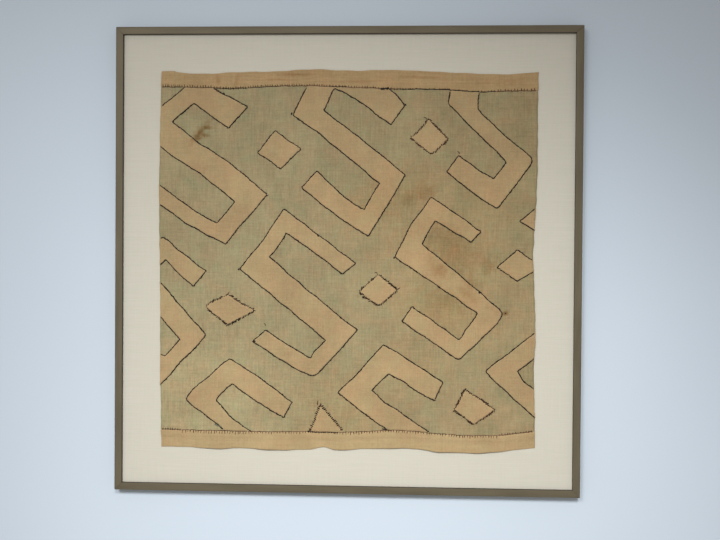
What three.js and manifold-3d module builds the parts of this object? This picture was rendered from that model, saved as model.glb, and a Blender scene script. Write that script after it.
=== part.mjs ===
// A kuba raffia cloth on a linen-covered board, in a thin mitred frame that lies on its back.
// Millimetres: X runs to the right of the face, Y towards its top edge, Z out of the face.
// The origin is in the middle of the back, on the surface that the frame lies on.

import * as THREE from "three";
import { mergeVertices } from "three/addons/utils/BufferGeometryUtils.js";
import Module from "manifold-3d";

const wasm = await Module();
wasm.setup();

// Driving dimensions

const GAP = 0.3; // between neighbouring pieces
const FRAME_SIDE = 838; // outside, square
const FRAME_DEPTH = 25;
const FACE_WIDTH = 13.5; // a rail seen from the front
const LIP_WIDTH = 6; // the part of the face that covers the board's edge
const RECESS = 7; // from the frame's face down to the linen
const OUTER_ROUND = 1.6; // radius of a rail's outer front edge
const INNER_ROUND = 0.8; // radius of a rail's inner front edge
const BOARD_THICK = 5;
const GROUND_THICK = 1.2;
const SEWN_THICK = 1.0; // hooks, patches and border strips
const CLOTH_WIDTH = 674;
const TUCK = 8; // how far the ground cloth runs on under a border strip
const CELL = 24; // about the size of the cloth's facets

const BOARD_TOP = FRAME_DEPTH - RECESS;
const GROUND_LOW = BOARD_TOP + GAP;
const SEWN_LOW = GROUND_LOW + GROUND_THICK + GAP;

// The cloth's outline and seams, as uneven as the hand-cut cloth. A row holds a place along
// the line and how far out the line lies there.

const LEFT_EDGE = [
  { up: -338, x: -331 },
  { up: -230, x: -333 },
  { up: -125, x: -334 },
  { up: -10, x: -335 },
  { up: 100, x: -339 },
  { up: 210, x: -339 },
  { up: 275, x: -338 },
  { up: 338, x: -336 },
];
const RIGHT_EDGE = [
  { up: -338, x: 339 },
  { up: -265, x: 338 },
  { up: -195, x: 336 },
  { up: -125, x: 340 },
  { up: -40, x: 336 },
  { up: 10, x: 332 },
  { up: 95, x: 334 },
  { up: 160, x: 338 },
  { up: 285, x: 336 },
  { up: 338, x: 336 },
];
const TOP_EDGE = [
  { across: -338, y: 340 },
  { across: -310, y: 338 },
  { across: -262, y: 335 },
  { across: -195, y: 338 },
  { across: -130, y: 339 },
  { across: -65, y: 343 },
  { across: 5, y: 340 },
  { across: 70, y: 341 },
  { across: 135, y: 339 },
  { across: 190, y: 335 },
  { across: 280, y: 332 },
  { across: 338, y: 335 },
];
const BOTTOM_EDGE = [
  { across: -338, y: -338 },
  { across: -280, y: -338 },
  { across: -235, y: -340 },
  { across: -195, y: -338 },
  { across: -130, y: -341 },
  { across: -65, y: -340 },
  { across: -40, y: -336 },
  { across: -20, y: -340 },
  { across: 10, y: -339 },
  { across: 110, y: -335 },
  { across: 170, y: -341 },
  { across: 250, y: -341 },
  { across: 338, y: -332 },
];
const TOP_SEAM = [
  { across: -338, y: 313 },
  { across: -262, y: 311 },
  { across: -202, y: 309 },
  { across: -100, y: 313 },
  { across: -14, y: 311 },
  { across: 90, y: 307 },
  { across: 230, y: 301 },
  { across: 280, y: 303 },
  { across: 338, y: 304 },
];
const BOTTOM_SEAM = [
  { across: -338, y: -306 },
  { across: -225, y: -307 },
  { across: -153, y: -310 },
  { across: -65, y: -309 },
  { across: 0, y: -309 },
  { across: 95, y: -304 },
  { across: 170, y: -309 },
  { across: 260, y: -311 },
  { across: 338, y: -302 },
];

// Where the cloth stands off the board: the middle of each pucker, its half-width across and
// up, and its height.

const PUCKERS = [
  { x: -325, y: 330, across: 30, up: 25, rise: 1.2 },
  { x: -70, y: 345, across: 60, up: 25, rise: 0.9 },
  { x: 75, y: 345, across: 45, up: 25, rise: 0.8 },
  { x: 230, y: 338, across: 50, up: 22, rise: 0.6 },
  { x: -232, y: -345, across: 32, up: 24, rise: 1.6 },
  { x: -138, y: -345, across: 36, up: 24, rise: 1.9 },
  { x: -8, y: -345, across: 26, up: 22, rise: 1.7 },
  { x: 82, y: -342, across: 36, up: 24, rise: 1.3 },
  { x: 168, y: -345, across: 34, up: 26, rise: 2.0 },
  { x: 248, y: -345, across: 36, up: 24, rise: 1.9 },
  { x: 340, y: 160, across: 26, up: 60, rise: 1.3 },
  { x: 338, y: -40, across: 26, up: 45, rise: 1.2 },
  { x: 342, y: -130, across: 26, up: 38, rise: 1.5 },
  { x: -342, y: 150, across: 24, up: 60, rise: 0.9 },
  { x: -338, y: -150, across: 24, up: 60, rise: 0.7 },
];
const RIPPLE = 0.5; // height of the slow unevenness all over the cloth
const RIPPLE_ACROSS = 230; // its wavelengths
const RIPPLE_UP = 190;

// A hook is a strip of five bars: upper arm, upper link, spine, lower link and lower arm. x and
// y are the middle of its spine. The spine and the arms fall to the right, and the links lean,
// by so many degrees. long, link and arm are lengths on the centre line; wide and narrow are the
// spine's widths at its upper and lower end, thick a link's, root and tip an arm's. cut is the
// lean of an arm's cut end, and bows says how far the middle of each bar lies to the left of a
// straight line, going from the upper arm's tip.

const HOOKS = [
  {
    x: -260, y: 178, fall: 37, long: 220, wide: 47, narrow: 47, bows: [0, 0, 2, 0, 1],
    upper: { link: 93, lean: 40, thick: 33, arm: 93, fall: 31, root: 38, tip: 51, cut: 49 },
    lower: { link: 84, lean: 50, thick: 36, arm: 150, fall: 32, root: 25, tip: 28, cut: 60 },
  },
  {
    x: 6, y: 205, fall: 38, long: 193, wide: 40, narrow: 40, bows: [-2, 0, 2, 0, 4],
    upper: { link: 100, lean: 63, thick: 46, arm: 148, fall: 39, root: 72, tip: 42, cut: 55 },
    lower: { link: 90, lean: 59, thick: 32, arm: 129, fall: 37, root: 35, tip: 40, cut: 45 },
  },
  {
    x: 256, y: 228, fall: 44, long: 141, wide: 29, narrow: 34, bows: [0, 0, -1, 1, 1],
    upper: { link: 95, lean: 83, thick: 53, arm: 30, fall: 36, root: 40, tip: 40, cut: 55 },
    lower: { link: 72, lean: 54, thick: 35, arm: 92, fall: 36, root: 38, tip: 33, cut: 56 },
  },
  {
    x: -87, y: -69, fall: 39, long: 203, wide: 51, narrow: 51, bows: [-2, 3, 0, 0, 2],
    upper: { link: 93, lean: 54, thick: 30, arm: 144, fall: 36, root: 32, tip: 31, cut: 40 },
    lower: { link: 78, lean: 49, thick: 30, arm: 110, fall: 30, root: 26, tip: 28, cut: 41 },
  },
  {
    x: 185, y: -37, fall: 37, long: 183, wide: 48, narrow: 29, bows: [0, -2, 1, 2, 0],
    upper: { link: 87, lean: 60, thick: 29, arm: 91, fall: 33, root: 32, tip: 26, cut: 47 },
    lower: { link: 86, lean: 50, thick: 32, arm: 110, fall: 34, root: 31, tip: 32, cut: 55 },
  },
  {
    x: -328, y: -82, fall: 49, long: 157, wide: 42, narrow: 42, bows: [0, 0, 0, 0, 0],
    upper: { link: 65, lean: 41, thick: 35, arm: 85, fall: 39, root: 28, tip: 35, cut: 53 },
    lower: { link: 90, lean: 47, thick: 29, arm: 40, fall: 30, root: 64, tip: 60, cut: 60 },
  },
  {
    x: -201, y: -303, fall: 40, long: 150, wide: 34, narrow: 30, bows: [-2, -4, 0, 0, 0],
    upper: { link: 74, lean: 46, thick: 35, arm: 124, fall: 33, root: 36, tip: 32, cut: 65 },
    lower: { link: 50, lean: 50, thick: 30, arm: 50, fall: 33, root: 30, tip: 30, cut: 55 },
  },
  {
    x: 87, y: -284, fall: 35, long: 170, wide: 39, narrow: 39, bows: [-1, 0, -2, 0, 0],
    upper: { link: 81, lean: 47, thick: 42, arm: 111, fall: 31, root: 40, tip: 34, cut: 66 },
    lower: { link: 50, lean: 50, thick: 30, arm: 50, fall: 33, root: 30, tip: 30, cut: 55 },
  },
  {
    x: 337, y: -250, fall: 43, long: 160, wide: 40, narrow: 34, bows: [0, 0, -2, 0, 0],
    upper: { link: 100, lean: 37, thick: 35, arm: 30, fall: 36, root: 40, tip: 40, cut: 55 },
    lower: { link: 40, lean: 50, thick: 30, arm: 40, fall: 33, root: 30, tip: 30, cut: 55 },
  },
  {
    x: 382, y: 47, fall: 34, long: 100, wide: 40, narrow: 40, bows: [0, 0, 0, 0, 0],
    upper: { link: 90, lean: 38, thick: 36, arm: 40, fall: 36, root: 40, tip: 40, cut: 55 },
    lower: { link: 40, lean: 50, thick: 30, arm: 40, fall: 33, root: 30, tip: 30, cut: 55 },
  },
];

// A patch has four corners, each so far up, right, down or left of its middle. lean moves the
// upper corner to the right and the lower one to the left, and tilt moves the right corner up
// and the left one down.

const PATCHES = [
  { x: -124, y: 198, up: 34, right: 41, down: 34, left: 36, lean: -5, tilt: 2 },
  { x: 146, y: 219, up: 34, right: 34, down: 29, left: 32, lean: -4, tilt: -1 },
  { x: -212, y: -87, up: 26, right: 45, down: 31, left: 42, lean: 2, tilt: -2 },
  { x: 59, y: -54, up: 30, right: 34, down: 26, left: 36, lean: -1, tilt: 3 },
  { x: 305, y: -10, up: 31, right: 44, down: 24, left: 35, lean: 0, tilt: 0 },
  { x: -35, y: -310, up: 50, right: 33, down: 20, left: 29, lean: -9, tilt: 0 },
  { x: 222, y: -265, up: 36, right: 47, down: 27, left: 27, lean: -8, tilt: 1 },
];

const BAR_STEPS = 4; // straight pieces along each side of a bar
const PRISM_LOW = BOARD_TOP - 10; // an outline is cut from below the cloth to above it
const PRISM_HIGH = FRAME_DEPTH + 10;

const COLOURS = {
  rail: 0x766a55,
  linen: 0xd6cfbf,
  ground: 0x938b6c,
  strip: 0xb9996a,
  sewn: 0xb8986c,
};

// Curves and numbers

// A smooth curve through a table's rows, read at one place along it.
function curveAt(rows, placeName, valueName, place) {
  const last = rows.length - 1;
  const inside = THREE.MathUtils.clamp(place, rows[0][placeName], rows[last][placeName]);
  let k = 0;
  while (k < last - 1 && inside > rows[k + 1][placeName]) k += 1;
  const slope = (from, to) =>
    (rows[to][valueName] - rows[from][valueName]) / (rows[to][placeName] - rows[from][placeName]);
  const span = rows[k + 1][placeName] - rows[k][placeName];
  const t = (inside - rows[k][placeName]) / span;
  const startSlope = slope(Math.max(k - 1, 0), k + 1) * span;
  const endSlope = slope(k, Math.min(k + 2, last)) * span;
  const start = rows[k][valueName];
  const end = rows[k + 1][valueName];
  const square = t * t;
  const cube = square * t;
  return (
    start * (2 * cube - 3 * square + 1) +
    startSlope * (cube - 2 * square + t) +
    end * (3 * square - 2 * cube) +
    endSlope * (cube - square)
  );
}

const leftEdge = (y) => curveAt(LEFT_EDGE, "up", "x", y);
const rightEdge = (y) => curveAt(RIGHT_EDGE, "up", "x", y);
const topEdge = (x) => curveAt(TOP_EDGE, "across", "y", x);
const bottomEdge = (x) => curveAt(BOTTOM_EDGE, "across", "y", x);
const topSeam = (x) => curveAt(TOP_SEAM, "across", "y", x);
const bottomSeam = (x) => curveAt(BOTTOM_SEAM, "across", "y", x);

// How far the cloth stands off the board.
function lift(x, y) {
  const across = Math.sin((2 * Math.PI * x) / RIPPLE_ACROSS);
  const up = Math.cos((2 * Math.PI * y) / RIPPLE_UP);
  let height = (RIPPLE * (1 + across * up)) / 2;
  for (const pucker of PUCKERS) {
    const away = ((x - pucker.x) / pucker.across) ** 2 + ((y - pucker.y) / pucker.up) ** 2;
    height += pucker.rise * Math.exp(-away);
  }
  return height;
}

// Geometry helpers

// A closed sheet on a grid of rows and columns, from the place of each grid point.
function gridSheet(columns, rows, pointAt) {
  const positions = [];
  for (const side of ["low", "high"]) {
    for (let row = 0; row <= rows; row += 1) {
      for (let column = 0; column <= columns; column += 1) {
        const point = pointAt(column / columns, row);
        positions.push(point.x, point.y, point[side]);
      }
    }
  }
  const layer = (columns + 1) * (rows + 1);
  const low = (column, row) => row * (columns + 1) + column;
  const high = (column, row) => layer + low(column, row);
  const triangles = [];
  const quad = (a, b, c, d) => triangles.push(a, b, c, a, c, d);
  for (let row = 0; row < rows; row += 1) {
    for (let column = 0; column < columns; column += 1) {
      const right = column + 1;
      const above = row + 1;
      quad(high(column, row), high(right, row), high(right, above), high(column, above));
      triangles.push(low(column, row), low(right, above), low(right, row));
      triangles.push(low(column, row), low(column, above), low(right, above));
    }
  }
  for (let column = 0; column < columns; column += 1) {
    const right = column + 1;
    quad(low(column, 0), low(right, 0), high(right, 0), high(column, 0));
    quad(low(right, rows), low(column, rows), high(column, rows), high(right, rows));
  }
  for (let row = 0; row < rows; row += 1) {
    const above = row + 1;
    quad(low(0, above), low(0, row), high(0, row), high(0, above));
    quad(low(columns, row), low(columns, above), high(columns, above), high(columns, row));
  }
  const geometry = new THREE.BufferGeometry();
  geometry.setAttribute("position", new THREE.Float32BufferAttribute(positions, 3));
  geometry.setIndex(triangles);
  return geometry;
}

function toSolid(geometry) {
  const plain = geometry.clone();
  plain.deleteAttribute("normal");
  plain.deleteAttribute("uv");
  const merged = mergeVertices(plain);
  const vertProperties = new Float32Array(merged.attributes.position.array);
  const triVerts = new Uint32Array(merged.index.array);
  return new wasm.Manifold(new wasm.Mesh({ numProp: 3, vertProperties, triVerts }));
}

function toGeometry(solid) {
  const mesh = solid.getMesh();
  const geometry = new THREE.BufferGeometry();
  const positions = new Float32Array(mesh.vertProperties);
  geometry.setAttribute("position", new THREE.BufferAttribute(positions, 3));
  geometry.setIndex(new THREE.BufferAttribute(new Uint32Array(mesh.triVerts), 1));
  geometry.computeVertexNormals();
  return geometry;
}

// What an outline cuts out of the layer over the ground cloth, the uppermost piece first. An
// outline that bends out over the cloth's edge and back leaves two pieces.
function cutOut(layer, outline) {
  const depth = PRISM_HIGH - PRISM_LOW;
  const prism = new THREE.ExtrudeGeometry(new THREE.Shape(outline), { depth, bevelEnabled: false });
  prism.translate(0, 0, PRISM_LOW);
  const bodies = layer.intersect(toSolid(prism)).decompose();
  const top = (body) => body.boundingBox().max[1];
  return bodies.sort((one, other) => top(other) - top(one)).map(toGeometry);
}

// Cloth

const COLUMNS = Math.round(CLOTH_WIDTH / CELL);
const CELL_ROWS = Math.round((topSeam(0) - bottomSeam(0)) / CELL);

// The place of a grid point between the cloth's two side edges, at the height that rise gives.
function placeAt(share, rise) {
  const nominal = (share - 0.5) * CLOTH_WIDTH;
  const y = rise(nominal);
  return { x: THREE.MathUtils.lerp(leftEdge(y), rightEdge(y), share), y };
}

function sheetPoint(share, rise, base, thick) {
  const place = placeAt(share, rise);
  const low = base + lift(place.x, place.y);
  return { ...place, low, high: low + thick };
}

// The layer between the seams, margin short of each, on the ground cloth's own grid.
function betweenSeams(row, margin) {
  return (x) =>
    THREE.MathUtils.lerp(bottomSeam(x) + margin, topSeam(x) - margin, row / CELL_ROWS);
}

function groundCloth() {
  const rows = CELL_ROWS + 2;
  return gridSheet(COLUMNS, rows, (share, row) => {
    let rise = betweenSeams(row - 1, 0);
    if (row === 0) rise = (x) => bottomSeam(x) - TUCK;
    if (row === rows) rise = (x) => topSeam(x) + TUCK;
    return sheetPoint(share, rise, GROUND_LOW, GROUND_THICK);
  });
}

function sewnLayer() {
  return gridSheet(COLUMNS, CELL_ROWS, (share, row) =>
    sheetPoint(share, betweenSeams(row, GAP), SEWN_LOW, SEWN_THICK),
  );
}

// A strip lies on the ground cloth from the seam to the tuck's end, then dips to the board.
function borderStrip(seam, edge) {
  const steps = [
    { out: 0, base: SEWN_LOW },
    { out: TUCK + GAP, base: SEWN_LOW },
    { out: 2 * TUCK, base: GROUND_LOW },
    { out: null, base: GROUND_LOW },
  ];
  const up = Math.sign(seam(0));
  const last = steps.length - 1;
  return gridSheet(COLUMNS, last, (share, row) => {
    const step = steps[up > 0 ? row : last - row];
    const rise = (x) => (step.out === null ? edge(x) : seam(x) + up * step.out);
    return sheetPoint(share, rise, step.base, SEWN_THICK);
  });
}

// Hooks and patches

function heading(degrees) {
  const angle = THREE.MathUtils.degToRad(degrees);
  return new THREE.Vector2(Math.cos(angle), Math.sin(angle));
}

const leftOf = (way) => new THREE.Vector2(-way.y, way.x);

// From a bend of the centre line to the corner on its left, where the sides of two bars meet.
function bendCorner(wayIn, halfIn, wayOut, halfOut) {
  const sideIn = leftOf(wayIn);
  const sideOut = leftOf(wayOut);
  const cross = sideIn.cross(sideOut);
  return new THREE.Vector2(
    (halfIn * sideOut.y - halfOut * sideIn.y) / cross,
    (halfOut * sideIn.x - halfIn * sideOut.x) / cross,
  );
}

// From an arm's tip to its corner on the left, along the cut.
function tipCorner(way, half, cut) {
  const along = heading(cut);
  return along.multiplyScalar(half / along.dot(leftOf(way)));
}

// The outline of a hook, from the six points of its centre line and their corners.
function hookOutline(hook) {
  const { upper, lower } = hook;
  const spine = heading(-hook.fall).multiplyScalar(hook.long / 2);
  const middle = new THREE.Vector2(hook.x, hook.y);
  const spineStart = middle.clone().sub(spine);
  const spineEnd = middle.clone().add(spine);
  const upperRoot = spineStart.clone().addScaledVector(heading(upper.lean), upper.link);
  const upperTip = upperRoot.clone().addScaledVector(heading(-upper.fall), upper.arm);
  const lowerRoot = spineEnd.clone().addScaledVector(heading(lower.lean), -lower.link);
  const lowerTip = lowerRoot.clone().addScaledVector(heading(-lower.fall), -lower.arm);
  const line = [upperTip, upperRoot, spineStart, spineEnd, lowerRoot, lowerTip];
  const bars = [
    { start: upper.tip / 2, end: upper.root / 2 },
    { start: upper.thick / 2, end: upper.thick / 2 },
    { start: hook.wide / 2, end: hook.narrow / 2 },
    { start: lower.thick / 2, end: lower.thick / 2 },
    { start: lower.root / 2, end: lower.tip / 2 },
  ];
  const ways = bars.map((bar, k) => line[k + 1].clone().sub(line[k]).normalize());
  const corners = [tipCorner(ways[0], bars[0].start, upper.cut)];
  for (let k = 1; k < bars.length; k += 1) {
    corners.push(bendCorner(ways[k - 1], bars[k - 1].end, ways[k], bars[k].start));
  }
  corners.push(tipCorner(ways.at(-1), bars.at(-1).end, lower.cut));
  const leftSide = [];
  const rightSide = [];
  for (let k = 0; k < bars.length; k += 1) {
    for (let step = 0; step < BAR_STEPS; step += 1) {
      const t = step / BAR_STEPS;
      const centre = line[k].clone().lerp(line[k + 1], t);
      centre.addScaledVector(leftOf(ways[k]), hook.bows[k] * 4 * t * (1 - t));
      const corner = corners[k].clone().lerp(corners[k + 1], t);
      leftSide.push(centre.clone().add(corner));
      rightSide.push(centre.clone().sub(corner));
    }
  }
  leftSide.push(line.at(-1).clone().add(corners.at(-1)));
  rightSide.push(line.at(-1).clone().sub(corners.at(-1)));
  return [...leftSide, ...rightSide.reverse()];
}

function patchOutline(patch) {
  return [
    new THREE.Vector2(patch.x + patch.lean, patch.y + patch.up),
    new THREE.Vector2(patch.x - patch.left, patch.y - patch.tilt),
    new THREE.Vector2(patch.x - patch.lean, patch.y - patch.down),
    new THREE.Vector2(patch.x + patch.right, patch.y + patch.tilt),
  ];
}

// Frame and board

// A rail's section: across from its outer side to its inner lip, and up from the back.
function railSection() {
  const section = new THREE.Shape();
  const rebate = FACE_WIDTH - LIP_WIDTH;
  const quarter = Math.PI / 2;
  section.moveTo(0, 0);
  section.lineTo(rebate, 0);
  section.lineTo(rebate, BOARD_TOP + GAP);
  section.lineTo(FACE_WIDTH, BOARD_TOP + GAP);
  section.absarc(FACE_WIDTH - INNER_ROUND, FRAME_DEPTH - INNER_ROUND, INNER_ROUND, 0, quarter);
  section.absarc(OUTER_ROUND, FRAME_DEPTH - OUTER_ROUND, OUTER_ROUND, quarter, 2 * quarter);
  return section;
}

// The bottom rail, with both ends mitred; the others are turned copies of it.
function railGeometry() {
  const geometry = new THREE.ExtrudeGeometry(railSection(), {
    depth: 1,
    steps: 1,
    bevelEnabled: false,
    curveSegments: 3,
  });
  const position = geometry.attributes.position;
  for (let k = 0; k < position.count; k += 1) {
    const inwards = position.getX(k);
    const halfLength = FRAME_SIDE / 2 - inwards - GAP / Math.SQRT2;
    const x = (2 * position.getZ(k) - 1) * halfLength;
    position.setXYZ(k, x, inwards - FRAME_SIDE / 2, position.getY(k));
  }
  geometry.computeVertexNormals();
  return geometry;
}

function boardGeometry() {
  const side = FRAME_SIDE - 2 * (FACE_WIDTH - LIP_WIDTH + GAP);
  const geometry = new THREE.BoxGeometry(side, side, BOARD_THICK);
  geometry.translate(0, 0, BOARD_TOP - BOARD_THICK / 2);
  return geometry;
}

// The assembly

function piece(name, geometry, color, roughness, metalness) {
  const mesh = new THREE.Mesh(geometry, new THREE.MeshStandardMaterial({ color, roughness, metalness }));
  mesh.name = name;
  return mesh;
}

function framePieces() {
  const group = new THREE.Group();
  ["bottom", "right", "top", "left"].forEach((side, turn) => {
    const rail = piece(`frame_rail_${side}`, railGeometry(), COLOURS.rail, 0.4, 0.8);
    rail.rotation.z = (turn * Math.PI) / 2;
    group.add(rail);
  });
  group.add(piece("linen_board", boardGeometry(), COLOURS.linen, 0.9, 0));
  return group;
}

// The pieces sewn on along one outline, named upper and lower where the cloth's edge parts them.
function sewnPieces(name, layer, outline) {
  const shapes = cutOut(layer, outline);
  const names = shapes.length === 1 ? [name] : [`${name}_upper`, `${name}_lower`];
  return shapes.map((shape, k) => piece(names[k], shape, COLOURS.sewn, 0.9, 0));
}

function clothPieces() {
  const group = new THREE.Group();
  const layer = toSolid(sewnLayer());
  const topStrip = borderStrip(topSeam, topEdge);
  const bottomStrip = borderStrip(bottomSeam, bottomEdge);
  group.add(piece("ground_cloth", groundCloth(), COLOURS.ground, 0.9, 0));
  group.add(piece("border_strip_top", topStrip, COLOURS.strip, 0.9, 0));
  group.add(piece("border_strip_bottom", bottomStrip, COLOURS.strip, 0.9, 0));
  HOOKS.forEach((hook, k) => {
    group.add(...sewnPieces(`hook_${k + 1}`, layer, hookOutline(hook)));
  });
  PATCHES.forEach((patch, k) => {
    group.add(...sewnPieces(`patch_${k + 1}`, layer, patchOutline(patch)));
  });
  return group;
}

const framedCloth = new THREE.Group();
framedCloth.add(framePieces(), clothPieces());

export default framedCloth;
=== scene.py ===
"""A kuba raffia cloth on a linen-covered board, in a thin mitred frame that lies on its back.

Shapes are worked out in millimetres and become metres in the meshes. X runs to the right of the
face, Y towards its top edge and Z out of the face. The origin is in the middle of the back, on the
surface that the frame lies on.
"""

import math

import bpy
import numpy as np
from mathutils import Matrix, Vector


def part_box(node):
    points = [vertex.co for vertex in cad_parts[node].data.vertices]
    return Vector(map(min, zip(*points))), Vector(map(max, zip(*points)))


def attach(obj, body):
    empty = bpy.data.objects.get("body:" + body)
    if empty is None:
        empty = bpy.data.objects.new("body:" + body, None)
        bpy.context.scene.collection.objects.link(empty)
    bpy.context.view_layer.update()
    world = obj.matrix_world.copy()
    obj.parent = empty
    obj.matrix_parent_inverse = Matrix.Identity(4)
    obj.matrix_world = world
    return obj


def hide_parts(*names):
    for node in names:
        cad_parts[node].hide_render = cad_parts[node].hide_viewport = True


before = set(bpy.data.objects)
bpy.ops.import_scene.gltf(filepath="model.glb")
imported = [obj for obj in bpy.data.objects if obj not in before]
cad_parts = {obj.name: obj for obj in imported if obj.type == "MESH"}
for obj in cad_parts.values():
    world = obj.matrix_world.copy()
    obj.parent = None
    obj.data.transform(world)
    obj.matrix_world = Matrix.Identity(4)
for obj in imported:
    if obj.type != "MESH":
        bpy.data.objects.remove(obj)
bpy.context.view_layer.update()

MM = 0.001  # a millimetre in metres


def box_mm(node):
    """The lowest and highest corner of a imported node, in millimetres."""
    low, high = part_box(node)
    return np.array(low) / MM, np.array(high) / MM


def table(columns, rows):
    """Rows of values as dictionaries, each value under its column's name."""
    names = columns.split()
    return [dict(zip(names, row)) for row in rows]


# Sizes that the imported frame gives

rail_low, rail_high = box_mm("frame_rail_bottom")
board_low, board_high = box_mm("linen_board")

FRAME_HALF = -rail_low[1]
FRAME_DEPTH = rail_high[2]
FACE_WIDTH = rail_high[1] - rail_low[1]
BOARD_HALF = board_high[0]
BOARD_TOP = board_high[2]
BOARD_THICK = board_high[2] - board_low[2]

# Sizes of the pieces

GAP = 0.3  # between neighbouring pieces
LIP_WIDTH = 6  # the part of a rail's face that covers the board's edge
CROWN = 0.25  # how far a rail's face swells at its middle
OUTER_ROUND = 1.6
INNER_ROUND = 0.8
ARRIS = 0.4  # radius of a rail's other edges
LINEN_THICK = 0.6
BOARD_ROUND = 1.2
BEHIND_LINEN = 0.05  # between the linen and the board
GROUND_THICK = 1.0
SEWN_THICK = 0.5
CLOTH_WIDTH = 674
TUCK = 8  # how far the ground cloth runs on under a border strip
GROUND_TOP = BOARD_TOP + 1.5
STRIP_DIP = 1.5  # from a strip on the ground cloth down to a strip on the board

# The cloth's outline and seams, as uneven as the hand-cut cloth. A row holds a place along the
# line and how far out the line lies there.

LEFT_EDGE = [
    (-338, -334), (-230, -336), (-125, -337), (-10, -338), (100, -340), (210, -339), (275, -338),
    (338, -336),
]
RIGHT_EDGE = [
    (-338, 339), (-265, 338), (-195, 336), (-125, 338), (-40, 335), (10, 333), (95, 337),
    (160, 339), (285, 339), (338, 340),
]
TOP_EDGE = [
    (-338, 339.8), (-313, 339.4), (-310, 337.8), (-262, 335), (-195, 338), (-130, 339),
    (-65, 342.5), (5, 340), (70, 341), (135, 339), (190, 336), (280, 333), (338, 337),
]
BOTTOM_EDGE = [
    (-338, -340), (-280, -340.5), (-235, -342), (-195, -340), (-130, -342.5), (-65, -341),
    (-40, -336), (-20, -341), (10, -339.5), (110, -336), (170, -341.5), (250, -341.5), (338, -332),
]
TOP_SEAM = [
    (-338, 311.5), (-262, 310), (-202, 308.5), (-100, 313), (-14, 311), (90, 307), (180, 306),
    (230, 301.5), (280, 303), (338, 304),
]
BOTTOM_SEAM = [
    (-338, -308), (-225, -309.5), (-153, -310), (-65, -309), (0, -309), (95, -304), (170, -309),
    (260, -311), (338, -302),
]

# Where the cloth stands off the board: the middle of each pucker, its half-width across and up,
# and its height.

PUCKERS = table("x y across up rise", [
    (-325, 330, 30, 25, 1.2),
    (-70, 345, 60, 25, 0.9),
    (75, 345, 45, 25, 0.8),
    (230, 338, 50, 22, 0.6),
    (-232, -345, 32, 24, 3.6),
    (-138, -345, 36, 24, 4.2),
    (-8, -345, 26, 22, 3.4),
    (82, -342, 36, 24, 3.2),
    (168, -345, 34, 26, 4.4),
    (248, -345, 36, 24, 3.8),
    (340, 160, 26, 60, 1.3),
    (338, -40, 26, 45, 1.2),
    (342, -130, 26, 38, 1.5),
    (-342, 150, 24, 60, 0.9),
    (-338, -150, 24, 60, 0.7),
])
RIPPLE = 0.5  # height of the slow unevenness all over the cloth
RIPPLE_ACROSS = 230  # its wavelengths
RIPPLE_UP = 190

# Soft creases in the cloth: the middle of each, its turn from the X axis in degrees, its half-length
# and half-width, and its height. A trough's height is below nought.

CREASES = table("x y turn long wide rise", [
    (-232, -322, 84, 20, 5, 0.35),
    (-186, -324, 96, 16, 4, -0.25),
    (-140, -320, 100, 22, 6, 0.4),
    (-8, -324, 82, 18, 4, 0.35),
    (86, -320, 98, 20, 5, 0.3),
    (128, -326, 88, 14, 4, -0.25),
    (168, -322, 94, 22, 6, 0.45),
    (250, -320, 80, 20, 6, 0.4),
    (-197, 325, 78, 14, 3, 0.35),
    (-20, 328, 100, 14, 4, 0.3),
    (118, 322, 84, 14, 4, 0.25),
    (318, 118, 172, 30, 6, 0.35),
    (322, -84, 8, 28, 6, 0.4),
    (-322, 96, 4, 26, 6, 0.3),
    (60, 120, 128, 60, 9, 0.25),
    (-170, -20, 44, 70, 10, 0.25),
    (120, -180, 36, 66, 9, 0.25),
])

# A hook is a strip of five bars: upper arm, upper link, spine, lower link and lower arm. x and y
# are the middle of its spine. The spine and the arms fall to the right, and the links lean, by so
# many degrees. long, link and arm are lengths on the centre line; wide and narrow are the spine's
# widths at its upper and lower end, thick a link's, root and tip an arm's. cut is the lean of an
# arm's cut end, and bows says how far the middle of each bar lies to the left of a straight line,
# going from the upper arm's tip. upper and lower hold the values of a link and its arm.

HALF_COLUMNS = "link lean thick arm fall root tip cut"

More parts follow.
